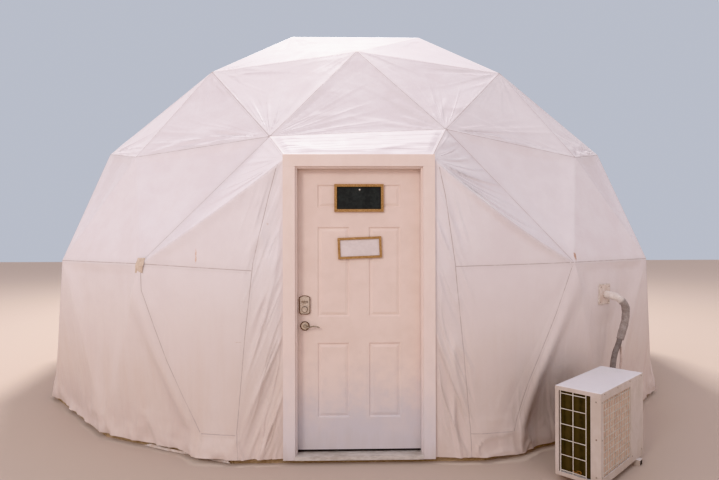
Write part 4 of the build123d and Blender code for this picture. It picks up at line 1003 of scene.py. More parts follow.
def new_mesh(name, points, faces, smooth=True):
    """Mesh of arrays of points and faces, shaded smooth or flat."""
    mesh = bpy.data.meshes.new(name)
    mesh.from_pydata(points.tolist(), [], faces.tolist())
    mesh.polygons.foreach_set("use_smooth", np.full(len(faces), smooth))
    return mesh


def new_object(name, mesh, finish):
    """An object of one finish, linked into the scene."""
    mesh.materials.append(finish)
    item = bpy.data.objects.new(name, mesh)
    bpy.context.scene.collection.objects.link(item)
    return item


def thicken(item, thickness, offset):
    """A Solidify modifier: offset -1 grows it inwards and 0 to both sides."""
    wall = item.modifiers.new("thickness", "SOLIDIFY")
    wall.thickness, wall.offset = thickness, offset


print("a grid of 3 by 2 points has", len(halves(grid_quads((3, 2)))), "triangles")

# %% [markdown]
# Panels are gathered into one mesh per CAD node, their shared edges are merged, and a Solidify modifier
# gives the cloth its thickness.

# %% Sewing panels into a sheet
CLOTH_THICK = 0.0012
MERGE_DISTANCE = 0.0004


def sew(name, panels, node):
    """One sheet from panels: merged, thickened inwards and ridden. Its outline is marked sharp, or the
    narrow rim would bend the shading beside it and draw a line between two sheets."""
    points, faces = stacked([(panel["points"], panel["faces"]) for panel in panels])
    mesh = new_mesh(name, points, faces)
    for label in (WELD, UPRIGHT_SEAM, LEVEL_SEAM, FOLD_DEPTH):
        values = np.concatenate([panel[label] for panel in panels]).astype(np.float32)
        mesh.attributes.new(label, "FLOAT", "POINT").data.foreach_set("value", values)
    fold_map = np.concatenate([panel["map"] for panel in panels])[faces.ravel()].astype(np.float32)
    mesh.uv_layers.new(name=FOLD_MAP).data.foreach_set("uv", fold_map.ravel())
    work = bmesh.new()
    work.from_mesh(mesh)
    bmesh.ops.remove_doubles(work, verts=work.verts, dist=MERGE_DISTANCE)
    work.to_mesh(mesh)
    work.free()
    edge_of_corner = np.empty(len(mesh.loops), np.int32)
    mesh.loops.foreach_get("edge_index", edge_of_corner)
    on_outline = np.bincount(edge_of_corner, minlength=len(mesh.edges)) == 1
    mesh.edges.foreach_set("use_edge_sharp", on_outline)
    cloth = new_object(name, mesh, finishes["white_membrane"])
    thicken(cloth, CLOTH_THICK, -1)
    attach(cloth, "root")
    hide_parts(node)
    return cloth


print("cloth", CLOTH_THICK * 1000, "mm thick")

# %% [markdown]
# Below the waist the cover hangs to the ground, where it gathers. Beside the door the struts and the seams
# part ways: the cloth keeps on in the plane of the portal's cheek up to a seam, and hangs loose beyond it.

# %% Hem folds and the seams beside the door
TRIM_BACK = -3.37083
CLAMP_X, CLAMP_Y = 0.519, TRIM_BACK + 0.0004          # cloth's edge behind the door trim
CLAMP_HEAD, CLAMP_FOOT = 2.168, 0.037
DOOR_CORNER = np.array([CLAMP_X, CLAMP_Y, CLAMP_HEAD])
HEM_FOLDS, HEM_CRUMPLE = 0.022, 0.019
LOWER_SEAM_HEIGHT = 0.20
DOOR_HUBS = {1: (("eave_a", 0), ("waist_a", 0), ("base_a", 0)),
             -1: (("eave_b", 4), ("waist_b", 4), ("base_b", 4))}
WALL_SEAMS = {
    frozenset({("waist_b", 4), ("base_m", 4), ("base_b", 4)}):
        (-1, 0.4, [(1.127, 0.20), (1.263, 0.454), (1.388, 0.703), (1.489, 0.943), (1.598, 1.214),
                   (1.612, 1.409)]),
    frozenset({("waist_a", 0), ("base_a", 0), ("base_m", 0)}):
        (1, 1.0, [(1.098, 0.20), (1.230, 0.535), (1.349, 0.787), (1.457, 1.022), (1.541, 1.227),
                  (1.612, 1.409)])}


def hem_folds(points):
    """Gathers at the foot of the wall: crests of a drift of the length round it, fading out upwards and
    beside the door. They only stand outwards, because the sill boards are close behind."""
    beside = np.where(points[:, 1] < -3.2, eased(np.abs(points[:, 0]) - CLAMP_X, 0.05, 0.3), 1.0)
    length, height = round_wall(points), points[:, 2]
    tall = 0.17 + 0.13 * ripple(33, length * 3, length * 0)
    low = np.exp(-(np.maximum(height - 0.03, 0) / tall) ** 2)
    wave = ripple(31, length * 8 + height * 3, height * 3.0)
    crumple = 0.65 + fold_shape(ripple(37, length * 7 - height * 4, height * 9))
    out = unit(points * (1, 1, 0))
    gathered = 0.5 + 0.5 * wave + 0.6 * np.exp(-(wave / 0.2) ** 2)
    return points + out * (low * beside * (HEM_FOLDS * gathered + HEM_CRUMPLE * crumple))[:, None]


def seam_offset(points, way, bends):
    """Signed distance in x from a seam, whose x is read off its bends by height; way is 1 on the right and
    -1 on the left."""
    bends = np.array(bends)
    return way * points[:, 0] - np.interp(points[:, 2], bends[:, 1], bends[:, 0])


def wall_seam(made, way, loose, bends):
    """Seam of the bay beside the door: signed distance in x from its bends, and the level seam at its foot.
    Up to the seam the cloth keeps on in the plane of the cheek. Beyond it the cloth is loose: a ridge, a
    valley along it, and deep upright folds near the ground."""
    points = made["points"]
    off = seam_offset(points, way, bends)
    waist, base = (cloth_spot(key) for key in DOOR_HUBS[way][1:])
    plane = facing_of([DOOR_CORNER * (way, 1, 1), waist, base])
    behind = np.maximum(-(points - waist) @ plane, 0) * eased(0.24 - off, 0.0, 0.24)
    points = points + behind[:, None] * plane
    height = points[:, 2]
    made[UPRIGHT_SEAM] = np.where(height > LOWER_SEAM_HEIGHT, off, 1.0)
    made[LEVEL_SEAM] = np.where(off < 0, height - LOWER_SEAM_HEIGHT, 1.0)
    tall = eased(1.28 - height, 0.0, 0.6) * eased(height, 0.05, 0.22)
    ridge = 0.016 * np.exp(-((off - 0.07) / 0.045) ** 2) - 0.022 * np.exp(-((off - 0.16) / 0.045) ** 2)
    wave = ripple(91, round_wall(points) * 8 + height * 1.2, height * 0.8)
    hung = eased(off, 0.12, 0.3) * eased(0.85 - off, 0.0, 0.2) * eased(0.8 - height, 0.0, 0.5)
    folds = tall * ridge + hung * eased(height, 0.05, 0.2) * 0.016 * fold_shape(wave)
    middle_face = made["faces"][len(made["faces"]) // 2]
    stand = loose * eased(made["edge"], 0.0, 0.12) * folds
    made["points"] = points + stand[:, None] * facing_of(points[middle_face])


print(len(WALL_SEAMS), "wall panels have a seam of their own")

# %% [markdown]
# Every ring of hubs pulls the cloth in its own way: the table gives how deep the folds are, how many stand
# in the corner and how far they reach. The strongest ones run from the corners of the icosahedron to the
# eave. A panel side that lies on no weld is left out of the seam lines.

# %% Roof and wall sheets
SIDES = ["front", "right", "back_right", "back_left", "left"]
PULLS = {"crown": (0.004, 5, 0.5), "crest": (0.007, 7, 0.5), "shoulder": (0.010, 8, 0.6),
         "dimple": (0.005, 6, 0.5), "apex": (0.018, 9, 0.7), "eave": (0.012, 8, 0.65),
         "waist": (0.009, 7, 0.6), "base": (0.012, 8, 0.5)}
SMOOTH_PULL = (0.003, 4, 0.6)
NO_WELD = [{"apex", "waist_a"}, {"apex", "waist_b"}, {"waist_a", "base_m"}, {"waist_b", "base_m"},
           {"waist_m", "base_a"}, {"waist_m", "base_b"}]
BESIDE_DOOR = [set(keys[1:]) for keys in DOOR_HUBS.values()]


def hub_panel(panel, n, seed):
    """A panel over three hubs, with the pull of each ring, and its gathers where it reaches the ground."""
    opposite = [{panel[(side + 1) % 3][0], panel[(side + 2) % 3][0]} for side in range(3)]
    welds = [side for side in range(3) if opposite[side] not in NO_WELD
             and not all(name.startswith("base") for name in opposite[side])
             and {panel[(side + 1) % 3], panel[(side + 2) % 3]} not in BESIDE_DOOR]
    low = any(key[0].startswith("base") for key in panel)
    rings = [key[0].split("_")[0] for key in panel]
    upper = not low and "waist" in rings
    pulls = [SMOOTH_PULL if upper else PULLS[ring] for ring in rings]
    if "apex" in rings and "eave" in rings and not upper:
        for ring, other, pull in (("apex", "eave", (0.028, 9, 0.9)), ("eave", "apex", (0.032, 10, 1.0))):
            corner = rings.index(ring)
            pulls[corner] = pull + (float(rings[(corner + 2) % 3] == other),)
    rolled = [side for side in range(3) if (upper and opposite[side] <= {"eave_a", "eave_b", "apex"})
              or (low and all(name.startswith("waist") for name in opposite[side]))]
    spots, outward = np.array([cloth_spot(key) for key in panel]), np.array([hub_out(key) for key in panel])
    made = fabric_panel(spots, outward, n, pulls, 0.008, seed, weld_sides=welds, upright=low, rolled=rolled)
    if frozenset(panel) in WALL_SEAMS:
        wall_seam(made, *WALL_SEAMS[frozenset(panel)])
    made["points"] = hem_folds(made["points"])
    return made


CUTS = {"front": 84, "right": 56, "left": 56}
BACK_CUTS = 32
cover = []
for k, side in enumerate(SIDES):
    for part, panels in (("roof", roof_panels(k)), ("wall", wall_panels(k))):
        made = [hub_panel(panel, CUTS.get(side, BACK_CUTS), 100 * k + 20 * (part == "wall") + number)
                for number, panel in enumerate(panels) if DOORWAY_HUB not in panel]
        cover.append(sew(f"cloth_{part}_{side}", made, f"cover_{part}_{side}"))
print(len(cover), "sheets,", sum(len(sheet.data.polygons) for sheet in cover), "faces before thickness")

# %% [markdown]
# Round the door the cloth leaves the dome and comes forward to the frame of the door, where it is clamped
# behind the trim. Above the door one patch slopes down from the two eave hubs, with level folds in it.

# %% Portal roof
ROOF_GRID = (145, 61)
PORTAL_ROOF_AREA = 0.66


def door_spot(way, height):
    """Outer face of the cloth where it is clamped behind the trim."""
    return np.array([way * CLAMP_X, CLAMP_Y, height])


def portal_roof():
    """Patch between the eave hubs and the door head: its top and bottom edges blended by one share, with
    level folds that die away at its edges."""
    across, down = np.meshgrid(*(np.linspace(0, 1, count) for count in ROOF_GRID), indexing="ij")
    s, t = across.ravel()[:, None], down.ravel()[:, None]
    left, right = cloth_spot(("eave_b", 4)), cloth_spot(("eave_a", 0))
    eaves = (1 - s) * left + s * right
    head = (1 - s) * door_spot(-1, CLAMP_HEAD) + s * door_spot(1, CLAMP_HEAD)
    points = (1 - t) * eaves + t * head
    s, t = s[:, 0], t[:, 0]
    held = eased(t, 0.0, 0.18) * eased(1 - t, 0.06, 0.3) * eased(s, 0, 0.06) * eased(1 - s, 0, 0.06)
    lift = held * (0.016 + 0.013 * fold_shape(ripple(41, s * 2.2, t * 5.0)))
    points = points + np.array([0.0, -0.45, 0.89]) * lift[:, None]
    length = np.linalg.norm(right - left)
    return {"points": points, "faces": halves(grid_quads(ROOF_GRID)[:, [0, 3, 2, 1]]),
            WELD: np.minimum(t * 0.5, np.minimum(s, 1 - s) * length), "map": np.stack([t * 7, s * 1.4], -1),
            FOLD_DEPTH: 0.006 * held, UPRIGHT_SEAM: np.ones(len(s)), LEVEL_SEAM: np.ones(len(s)),
            "area": PORTAL_ROOF_AREA}


roof_cloth = sew("cloth_portal_roof", [portal_roof()], "portal_roof")
print("portal roof is", round(sum(p.area for p in roof_cloth.data.polygons), 3), "square metres")

# %% [markdown]
# At each side of the door the cloth folds sharply on a line from the door's top corner to the waist hub:
# above the fold it faces the sky, and below it hangs nearly upright. The fold sags, so it is bowed, and
# folds fan out from the corner. A strip of cloth sewn on beside the trim is pulled aslant, and its folds
# run down and away from the door.

# %% Portal cheeks
SQUARE_ON = np.array([0.0, -1.0, 0.15]) / math.hypot(1.0, 0.15)
CHEEK_CUTS = 90
CHEEK_BOWS = {1: (0.02, -0.055, -0.085), -1: (0.0, -0.035, -0.03)}
CHEEK_PULLS = {1: (0.033, 13, 1.0), -1: (0.012, 7, 0.8)}
CHEEK_RIDGES = {1: (0.030, 0.026), -1: (0.010, 0.05)}
WAIST_SLOPES = {1: 0.02, -1: -0.053}
FOLD_SLANT = 2.4
UPRIGHT_SEAMS = {
    1: [(0.789, 0.03), (0.787, 0.25), (0.735, 0.90), (0.682, 1.43), (0.615, 1.90), (0.56, 2.16)],
    -1: [(0.848, 0.03), (0.869, 0.22), (0.812, 0.90), (0.755, 1.42), (0.640, 1.90), (0.57, 2.16)]}


def trim_folds(points, way):
    """Slanting folds beside the trim: a drift of height plus slope times distance from the trim."""
    off, height = way * points[:, 0] - CLAMP_X, points[:, 2]
    slanted = height + FOLD_SLANT * off
    held = eased(off, 0.012, 0.07) * eased(0.34 - off, 0.0, 0.2) * eased(CLAMP_HEAD - height, 0.15, 0.6)
    wave = ripple(51 + way, slanted * 2.6, off * 3.0)
    short = ripple(57 + way, slanted * 8.0 + off * 2, off * 9.0)
    depth = held * (0.6 + 0.4 * (1 - eased(height, 0.2, 1.6)))
    stand = depth * (0.036 * fold_shape(wave) + 0.018 * fold_shape(short) + 0.006)
    return points + np.array([0.0, -1.0, 0.0]) * stand[:, None]


def cheek(way):
    """Three panels from the eave, waist and base hubs to the door's edge, with the strip's own folds."""
    head, foot = (door_spot(way, CLAMP_HEAD), SQUARE_ON), (door_spot(way, CLAMP_FOOT), SQUARE_ON)
    eave, waist, base = ((cloth_spot(key), hub_out(key)) for key in DOOR_HUBS[way])
    mild, faint, bow, ridge = (0.005, 6, 0.5), (0.003, 6, 0.5), CHEEK_BOWS[way], CHEEK_RIDGES[way]
    panels = []
    for corners, pulls, bulge, weld_sides, fold in (
            ((eave, waist, head), [mild, mild, CHEEK_PULLS[way]], (0, bow), (1, 2), (0, *ridge)),
            ((head, waist, base), [faint] * 3, (2, bow), (), (2, *ridge)),
            ((head, base, foot), [faint] * 3, None, (), None)):
        spots, outward = (np.array(rows) for rows in zip(*corners))
        panels.append(fabric_panel(spots, outward, CHEEK_CUTS, pulls, 0, 700 + 10 * len(panels) + way, bulge,
                                   weld_sides, ridge=fold))
    waist_spot = waist[0]
    for panel in panels[1:]:
        points = panel["points"]
        off = way * points[:, 0] - CLAMP_X
        strip = eased(0.36 - off, 0.0, 0.15)
        panel["map"] = np.stack([(points[:, 2] + FOLD_SLANT * off) * 4.0, off * 3.0], -1)
        panel[FOLD_DEPTH] = 0.0005 + 0.004 * strip * eased(off, 0.01, 0.05)
        panel[UPRIGHT_SEAM] = seam_offset(points, way, UPRIGHT_SEAMS[way])
        waist_line = points[:, 2] - waist_spot[2] - (points[:, 0] - waist_spot[0]) * WAIST_SLOPES[way]
        level = waist_line * (points[:, 2] - LOWER_SEAM_HEIGHT) / (LOWER_SEAM_HEIGHT - waist_spot[2])
        panel[LEVEL_SEAM] = np.where(panel[UPRIGHT_SEAM] > 0, level, 1.0)
        panel["points"] = hem_folds(trim_folds(points, way))
    return panels


cheeks = [sew("cloth_cheek_right", cheek(1), "portal_cheek_right"),
          sew("cloth_cheek_left", cheek(-1), "portal_cheek_left")]
print("cheeks of", [len(cloth.data.polygons) for cloth in cheeks], "faces")

# %% [markdown]
# Pipes, beads and trims here are all the same idea: a round profile carried along a path. The path is
# smoothed first. In a quadratic B-spline each run between the middles of two neighbouring legs bends by
# the curve (1-t)^2 a + 2t(1-t) b + t^2 c, where b is the corner, so the line rounds every corner and still
# starts and ends where the route does.

# %% Helpers for tubes
def smooth_route(corners, steps=14):
    """Quadratic B-spline through the middles of the legs, worked out for all corners at once."""
    corners = np.asarray(corners, float)
    middles = (corners[:-1] + corners[1:]) / 2
    middles[0], middles[-1] = corners[0], corners[-1]
    t = np.linspace(0, 1, steps, endpoint=False)[None, :, None]
    a, b, c = middles[:-1, None], corners[1:-1, None], middles[1:, None]
    curve = ((1 - t) ** 2 * a + 2 * t * (1 - t) * b + t ** 2 * c).reshape(-1, 3)
    return np.concatenate([curve, corners[-1:]])


def tube_arrays(route, radius, around, reference, closed=False):
    """Ring points = route + radius(along, angle) times a direction turned round the route's tangent; the
    first direction is square to the reference. Open tubes get a middle point at each end."""
    if closed:
        tangent = np.roll(route, -1, 0) - np.roll(route, 1, 0)
    else:
        tangent = np.gradient(route, axis=0)
    tangent = unit(tangent)
    side = unit(np.cross(tangent, reference))
    up = np.cross(side, tangent)
    along = np.concatenate([[0], np.cumsum(np.linalg.norm(np.diff(route, axis=0), axis=1))])
    angle = np.arange(around) * 2 * np.pi / around
    reach = radius(along[:, None], angle[None, :]) * np.ones((len(route), around))
    direction = side[:, None] * np.cos(angle)[None, :, None] + up[:, None] * np.sin(angle)[None, :, None]
    points = (route[:, None] + direction * reach[..., None]).reshape(-1, 3)
    lengths = np.repeat(along, around)
    if closed:
        index = np.arange(len(points)).reshape(len(route), around)
        return points, halves(ring_quads(index, np.roll(index, -1, 0))), lengths
    points, lengths = np.concatenate([points, route[[0, -1]]]), np.concatenate([lengths, along[[0, -1]]])
    return points, capped_rings(len(route), around), lengths


def rigid_piece(name, parts, finish, smooth=True, body="root", lengths=None):
    """One mesh from several (points, faces) parts, turned outwards, ridden on its body."""
    mesh = new_mesh(name, *stacked(parts), smooth)
    if lengths is not None:
        mesh.attributes.new("along", "FLOAT", "POINT").data.foreach_set("value", lengths.astype(np.float32))
    work = bmesh.new()
    work.from_mesh(mesh)
    bmesh.ops.recalc_face_normals(work, faces=work.faces)
    work.to_mesh(mesh)
    work.free()
    piece = new_object(name, mesh, finish)
    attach(piece, body)
    return piece


print("a smoothed corner:", smooth_route([(0, 0, 0), (1, 0, 0), (1, 1, 0)], 2).round(2).tolist())

# %% [markdown]
# The outdoor unit stands on the ground beside the dome, turned a little away from it. All its parts are
# placed in its own directions: along the fan side, back towards the dome, and up.

# %% Where the unit stands
UNIT_BEARING, UNIT_CLEAR, UNIT_FACING = 25.3, 0.450, 43.5
UNIT_WIDTH, UNIT_DEPTH, UNIT_TOP = 0.755, 0.298, 0.623
unit_spot = ring_point(UNIT_BEARING, math.hypot(*HUBS["base_m", 0][:2]) + UNIT_CLEAR, 0.0)
unit_out = ring_point(UNIT_FACING, 1.0, 0.0)
unit_along = np.array([-unit_out[1], unit_out[0], 0.0])
unit_back = -unit_out
UPWARDS = np.array([0.0, 0.0, 1.0])


def unit_point(x, y, z):
    """x along the fan side, y towards the dome and z up from the ground under the unit's middle."""
    return unit_spot + unit_along * x + unit_back * y + UPWARDS * z


print("the unit stands at", unit_spot.round(3))

# %% [markdown]
# The line set leaves a plate that is sealed to the cover. Its bundle is wrapped in cream tape round the
# bend and in a mottled grey foam below it, then it parts into a dark foam hose and a thin drain. The wrap
# is a radius that steps up along a spiral; the foam swells and shrinks a little. The routes are the ones
# the solids follow.

# %% Line set
BUNDLE_RADIUS, HOSE_RADIUS, DRAIN_RADIUS = 0.029, 0.022, 0.0095
BUNDLE_LEAD, SPLIT_GAP = 0.075, 0.001
BUNDLE_STEPS = [(0.096, -0.077, -0.040), (0.138, -0.060, -0.092), (0.145, -0.048, -0.171),
                (0.121, -0.045, -0.279), (0.096, -0.050, -0.352)]
HOSE_STEPS = [(0.635, 0.147, 0.659), (0.621, 0.153, 0.575), (0.600, 0.140, 0.430), (0.558, 0.098, 0.310)]
DRAIN_STEPS = [(0.699, 0.114, 0.690), (0.694, 0.118, 0.570), (0.664, 0.112, 0.390), (0.600, 0.088, 0.250)]
VALVE_BACK, VALVE_FACE = 0.060, UNIT_WIDTH / 2 + 0.056
WRAP_PITCH, WRAP_STEP = 0.034, 0.0016
PLATE_FACE = 0.008            # outer face of the plate, from where it lies on the cover
plate_level = unit(np.cross((0.0, 0.0, 1.0), PLATE_OUT))
plate_up = np.cross(PLATE_OUT, plate_level)
start = PLATE_SPOT + PLATE_OUT * PLATE_FACE
bundle_route = [start, start + PLATE_OUT * BUNDLE_LEAD] + [start + np.array(step) for step in BUNDLE_STEPS]
run = unit(bundle_route[-1] - bundle_route[-2])
aside = unit(unit_along - run * (unit_along @ run))


def wrapped(along, angle):
    """Bundle radius: a step up along a spiral of the wrap's pitch, over soft lumps."""
    turn = (along / WRAP_PITCH + angle / (2 * np.pi)) % 1.0
    lumps = 0.0012 * np.sin(along * 37 + 2 * np.sin(angle)) + 0.0008 * np.sin(along * 91 + angle * 2)
    return BUNDLE_RADIUS - 0.0012 + WRAP_STEP * (1 - turn) + lumps


def foam(radius):
    """Foam hose radius: soft irregular swelling."""
    def swollen(along, angle):
        """The radius, with one wave along the hose and round it, and a longer one over it."""
        return radius - 0.0008 + 0.0008 * np.sin(along * 53 + angle) + 0.0006 * np.sin(along * 17 + 2 * angle)
    return swollen


tubes = {"wrapped_bundle": tube_arrays(smooth_route(bundle_route, 26), wrapped, 40, plate_level)}
for name, shift, radius, steps, height in (("foam_hose", -0.006, HOSE_RADIUS, HOSE_STEPS, 0.255),
                                           ("drain_pipe", 0.018, DRAIN_RADIUS, DRAIN_STEPS, 0.175)):
    begin = bundle_route[-1] + run * SPLIT_GAP + aside * shift
    ends = [unit_point(VALVE_FACE + out, VALVE_BACK, height) for out in (2 * HOSE_RADIUS, 0.0)]
    route = [begin, begin + run * HOSE_RADIUS] + [unit_point(*step) for step in steps] + ends
    tubes[name] = tube_arrays(smooth_route(route, 16), foam(radius), 24, unit_back + 0.2 * unit_along)
print("line set leaves the plate at", PLATE_SPOT.round(3))

# %% [markdown]
# Each of the three tubes has one colour near its beginning and another further on. The mesh carries the
# length along the tube at each point, and that length says where the colour changes.

# %% Finishes of the line set
def line_finish(name, near, far, change, shine=0.6):
    """One colour up to a length along the tube and another after it, both mottled."""
    finish, tree, shader, spot = new_finish(name)
    along = attribute(tree, "along")
    clouds = clouds_of(tree, spot, 22.0)
    first, second = blend_colours(tree, clouds, *near), blend_colours(tree, clouds, *far)
    changed = ramp(tree, along, change - 0.01, change + 0.01)
    tree.links.new(blend_colours(tree, changed, first, second), shader.inputs["Base Color"])
    shader.inputs["Roughness"].default_value = shine
    raise_relief(tree, shader, noise(tree, spot, 160.0, Detail=3.0), 0.0012, 0.6)
    return finish


line_finishes = {
    "wrapped_bundle": line_finish("wrapped_bundle", ((0.70, 0.64, 0.60), (0.82, 0.77, 0.73)),
                                  ((0.30, 0.255, 0.235), (0.42, 0.37, 0.35)), 0.135),
    "foam_hose": line_finish("dark_foam", ((0.20, 0.17, 0.16), (0.29, 0.255, 0.24)),
                             ((0.16, 0.14, 0.13), (0.26, 0.23, 0.22)), 0.3),
    "drain_pipe": line_finish("drain_pipe", ((0.70, 0.62, 0.55), (0.78, 0.70, 0.64)),
                              ((0.56, 0.44, 0.39), (0.66, 0.54, 0.49)), 0.05, 0.4),
}
for name, (points, faces, lengths) in tubes.items():
    piece = rigid_piece(name, [(points, faces)], line_finishes[name], lengths=lengths)
    if name == "wrapped_bundle":
        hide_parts("line_set")
print(len(line_finishes), "finishes for the line set")

# %% [markdown]
# The plate was sealed by hand: a bead of sealant runs round it, thick in some places and thin in others.
# The bead is the same tube carried round a rounded square. Four screws hold the plate down.

# %% Sealant and screws
PLATE_HALF = 0.075
SCREW_OFF = 0.060             # plate screws from the plate's middle
BEAD_RADIUS = 0.0055


def dome_head(centre, out, level, radius, height, around=16, rings=5):
    """Screw head: rings at angles from rim to top of a flattened half ball, closed by one point."""
    rise = np.linspace(0, np.pi / 2, rings, endpoint=False)
    angle = np.arange(around) * 2 * np.pi / around
    ring = np.cos(angle)[:, None] * level + np.sin(angle)[:, None] * np.cross(out, level)
    wide, high = (radius * np.cos(rise))[:, None, None], (height * np.sin(rise))[:, None, None]
    points = (centre + ring[None] * wide + out * high).reshape(-1, 3)
    points = np.concatenate([points, [centre], [centre + out * height]])
    return points, capped_rings(rings, around)


angle = np.linspace(0, 2 * np.pi, 160, endpoint=False)
square = np.maximum(np.abs(np.cos(angle)), np.abs(np.sin(angle)))
wobble = 0.0018 * np.sin(angle * 7) + 0.0012 * np.sin(angle * 17 + 1)
round_plate = np.cos(angle)[:, None] * plate_level + np.sin(angle)[:, None] * plate_up
bead_route = PLATE_SPOT + ((PLATE_HALF + 0.002) / square + wobble)[:, None] * round_plate + PLATE_OUT * 0.0025


def bead_radius(along, angle):
    """Thick and thin by two waves of the length round the plate."""
    return BEAD_RADIUS + 0.0014 * np.sin(along * 61) + 0.0009 * np.sin(along * 143)


bead = tube_arrays(bead_route, bead_radius, 10, PLATE_OUT, closed=True)[:2]
sealant = rigid_finish("sealant", (0.78, 0.72, 0.66), (0.62, 0.54, 0.47), 40.0, shine=(0.4, 0.6))
rigid_piece("sealant_bead", [bead], sealant)
screw_finish = rigid_finish("screw_steel", (0.55, 0.50, 0.44), (0.30, 0.22, 0.16), 120.0, shine=(0.3, 0.5),
                            metal=0.8)
plate_screws = [dome_head(start + plate_level * x * SCREW_OFF + plate_up * y * SCREW_OFF, PLATE_OUT,
                          plate_level, 0.005, 0.0028) for x in (-1, 1) for y in (-1, 1)]
rigid_piece("plate_screws", plate_screws, screw_finish)
print("sealant bead of", len(bead[1]), "faces")

# %% [markdown]
# The outdoor unit is folded sheet metal held by screws: three down the corner post, and more round the
# lid and the closed end. Its feet stand on black rubber pads. All screws are one mesh, and so are the pads.

# %% Small parts of the outdoor unit
HALF_LONG, HALF_DEEP = UNIT_WIDTH / 2, UNIT_DEPTH / 2
SCREW_HEIGHTS = (0.095, 0.33, 0.565)
screws = []
for height in SCREW_HEIGHTS:
    for x, y, out, level in ((-HALF_LONG + 0.018, -HALF_DEEP, unit_out, unit_along),
                             (-HALF_LONG, -HALF_DEEP + 0.030, -unit_along, unit_out),
                             (HALF_LONG, -HALF_DEEP + 0.020, unit_along, unit_out),
                             (HALF_LONG, HALF_DEEP - 0.020, unit_along, unit_out)):
        screws.append(dome_head(unit_point(x, y, height), out, level, 0.0055, 0.003))
for height, places in ((UNIT_TOP - 0.014, (-0.32, -0.10, 0.12, 0.34)), (0.085, (0.16, 0.345))):
    screws += [dome_head(unit_point(x, -HALF_DEEP, height), unit_out, unit_along, 0.0050, 0.0028)
               for x in places]
rigid_piece("unit_screws", screws, screw_finish)
FOOT_INSET = 0.120
PAD_LONG, PAD_DEEP, PAD_HIGH, PAD_TOP = 0.0265, 0.024, 0.034, 0.035
PAD_RINGS = ((0.94, 0.0), (1.0, 0.15), (1.0, 0.8), (0.9, 1.0))


def pad(middle, around=32):
    """Rubber pad: a rounded square profile drawn in at the top, as a stack of four rings with two caps."""
    angle = np.arange(around) * 2 * np.pi / around
    rounded = (np.abs(np.cos(angle)) ** 8 + np.abs(np.sin(angle)) ** 8) ** (-1 / 8)
    along, across = np.cos(angle) * rounded * PAD_LONG, np.sin(angle) * rounded * PAD_DEEP
    bottom, rise = middle + UPWARDS * (PAD_TOP - PAD_HIGH), UPWARDS * PAD_HIGH
    layers = [bottom + (along * share)[:, None] * unit_along + (across * share)[:, None] * unit_back
              + rise * height for share, height in PAD_RINGS]
    return np.concatenate(layers + [[bottom], [bottom + rise]]), capped_rings(len(PAD_RINGS), around)


pads = [pad(unit_point(x * (HALF_LONG - FOOT_INSET), y * HALF_DEEP, 0.0)) for x in (-1, 1) for y in (-1, 1)]
rigid_piece("foot_pads", pads, finishes["black_rubber"])
print(len(screws), "screws on the unit")

# %% [markdown]
# A guard is a grid of bars over each opening. All bars are boxes, given by their middles and half sizes in
# the unit's own directions, so all the corners are worked out in one sum.

# %% Guards
def straight_bars(middles, sizes):
    """Boxes by middle and half sizes in the unit's own directions, as one pair of arrays."""
    signs = np.array(list(itertools.product((-1, 1), repeat=3)), float)
    corners = middles[:, None] + signs[None] * sizes[:, None]
    points = (unit_spot + corners[..., :1] * unit_along + corners[..., 1:2] * unit_back
              + corners[..., 2:] * UPWARDS).reshape(-1, 3)
    faces = halves(np.array([(0, 1, 3, 2), (4, 6, 7, 5), (0, 4, 5, 1), (2, 3, 7, 6), (0, 2, 6, 4),
                             (1, 5, 7, 3)]))
    return points, (faces[None] + 8 * np.arange(len(middles))[:, None, None]).reshape(-1, 3)


GUARD_LOW, GUARD_HIGH = (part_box("condenser_guards")[i][2] for i in (0, 1))


def guard(place, uprights, levels, half, order):
    """Bars of one guard: uprights from pan to lid, and levels from the first upright to the last. The order
    says which of the unit's directions the numbers across, deep and up belong to."""
    first, last = uprights.min() - half, uprights.max() + half
    middles = ([(across, place, (GUARD_LOW + GUARD_HIGH) / 2) for across in uprights]
               + [((first + last) / 2, place, height) for height in levels])
    sizes = ([(half, half, (GUARD_HIGH - GUARD_LOW) / 2)] * len(uprights)
             + [((last - first) / 2, half * 0.8, half)] * len(levels))
    return np.array(middles)[:, order], np.array(sizes)[:, order]


fan_bars = guard(-0.143, np.linspace(-0.3350, 0.1275, 12),
                 np.linspace(GUARD_LOW + 0.003, GUARD_HIGH - 0.003, 13), 0.002, [0, 1, 2])
end_bars = guard(-HALF_LONG + 0.0035, np.array([-0.054, 0.030, 0.113]), np.linspace(0.078, 0.578, 6), 0.0026,
                 [1, 0, 2])
rear_bars = guard(HALF_DEEP - 0.0035, np.linspace(-0.3485, 0.3690, 8),
                  np.linspace(GUARD_LOW + 0.004, GUARD_HIGH - 0.004, 7), 0.0033, [0, 1, 2])
unit_guards = rigid_piece("unit_guards", [straight_bars(*bars) for bars in (fan_bars, end_bars, rear_bars)],
                          finishes["guard_bars"], smooth=False)
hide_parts("condenser_guards")
print(len(unit_guards.data.polygons), "faces in the guards")

# %% [markdown]
# Behind the bars in front of the fan hangs a fine mesh of flat strips, dull with dust. They are boxes like
# the bars. A loop of rusty wire was left hanging in the guard at the closed end.

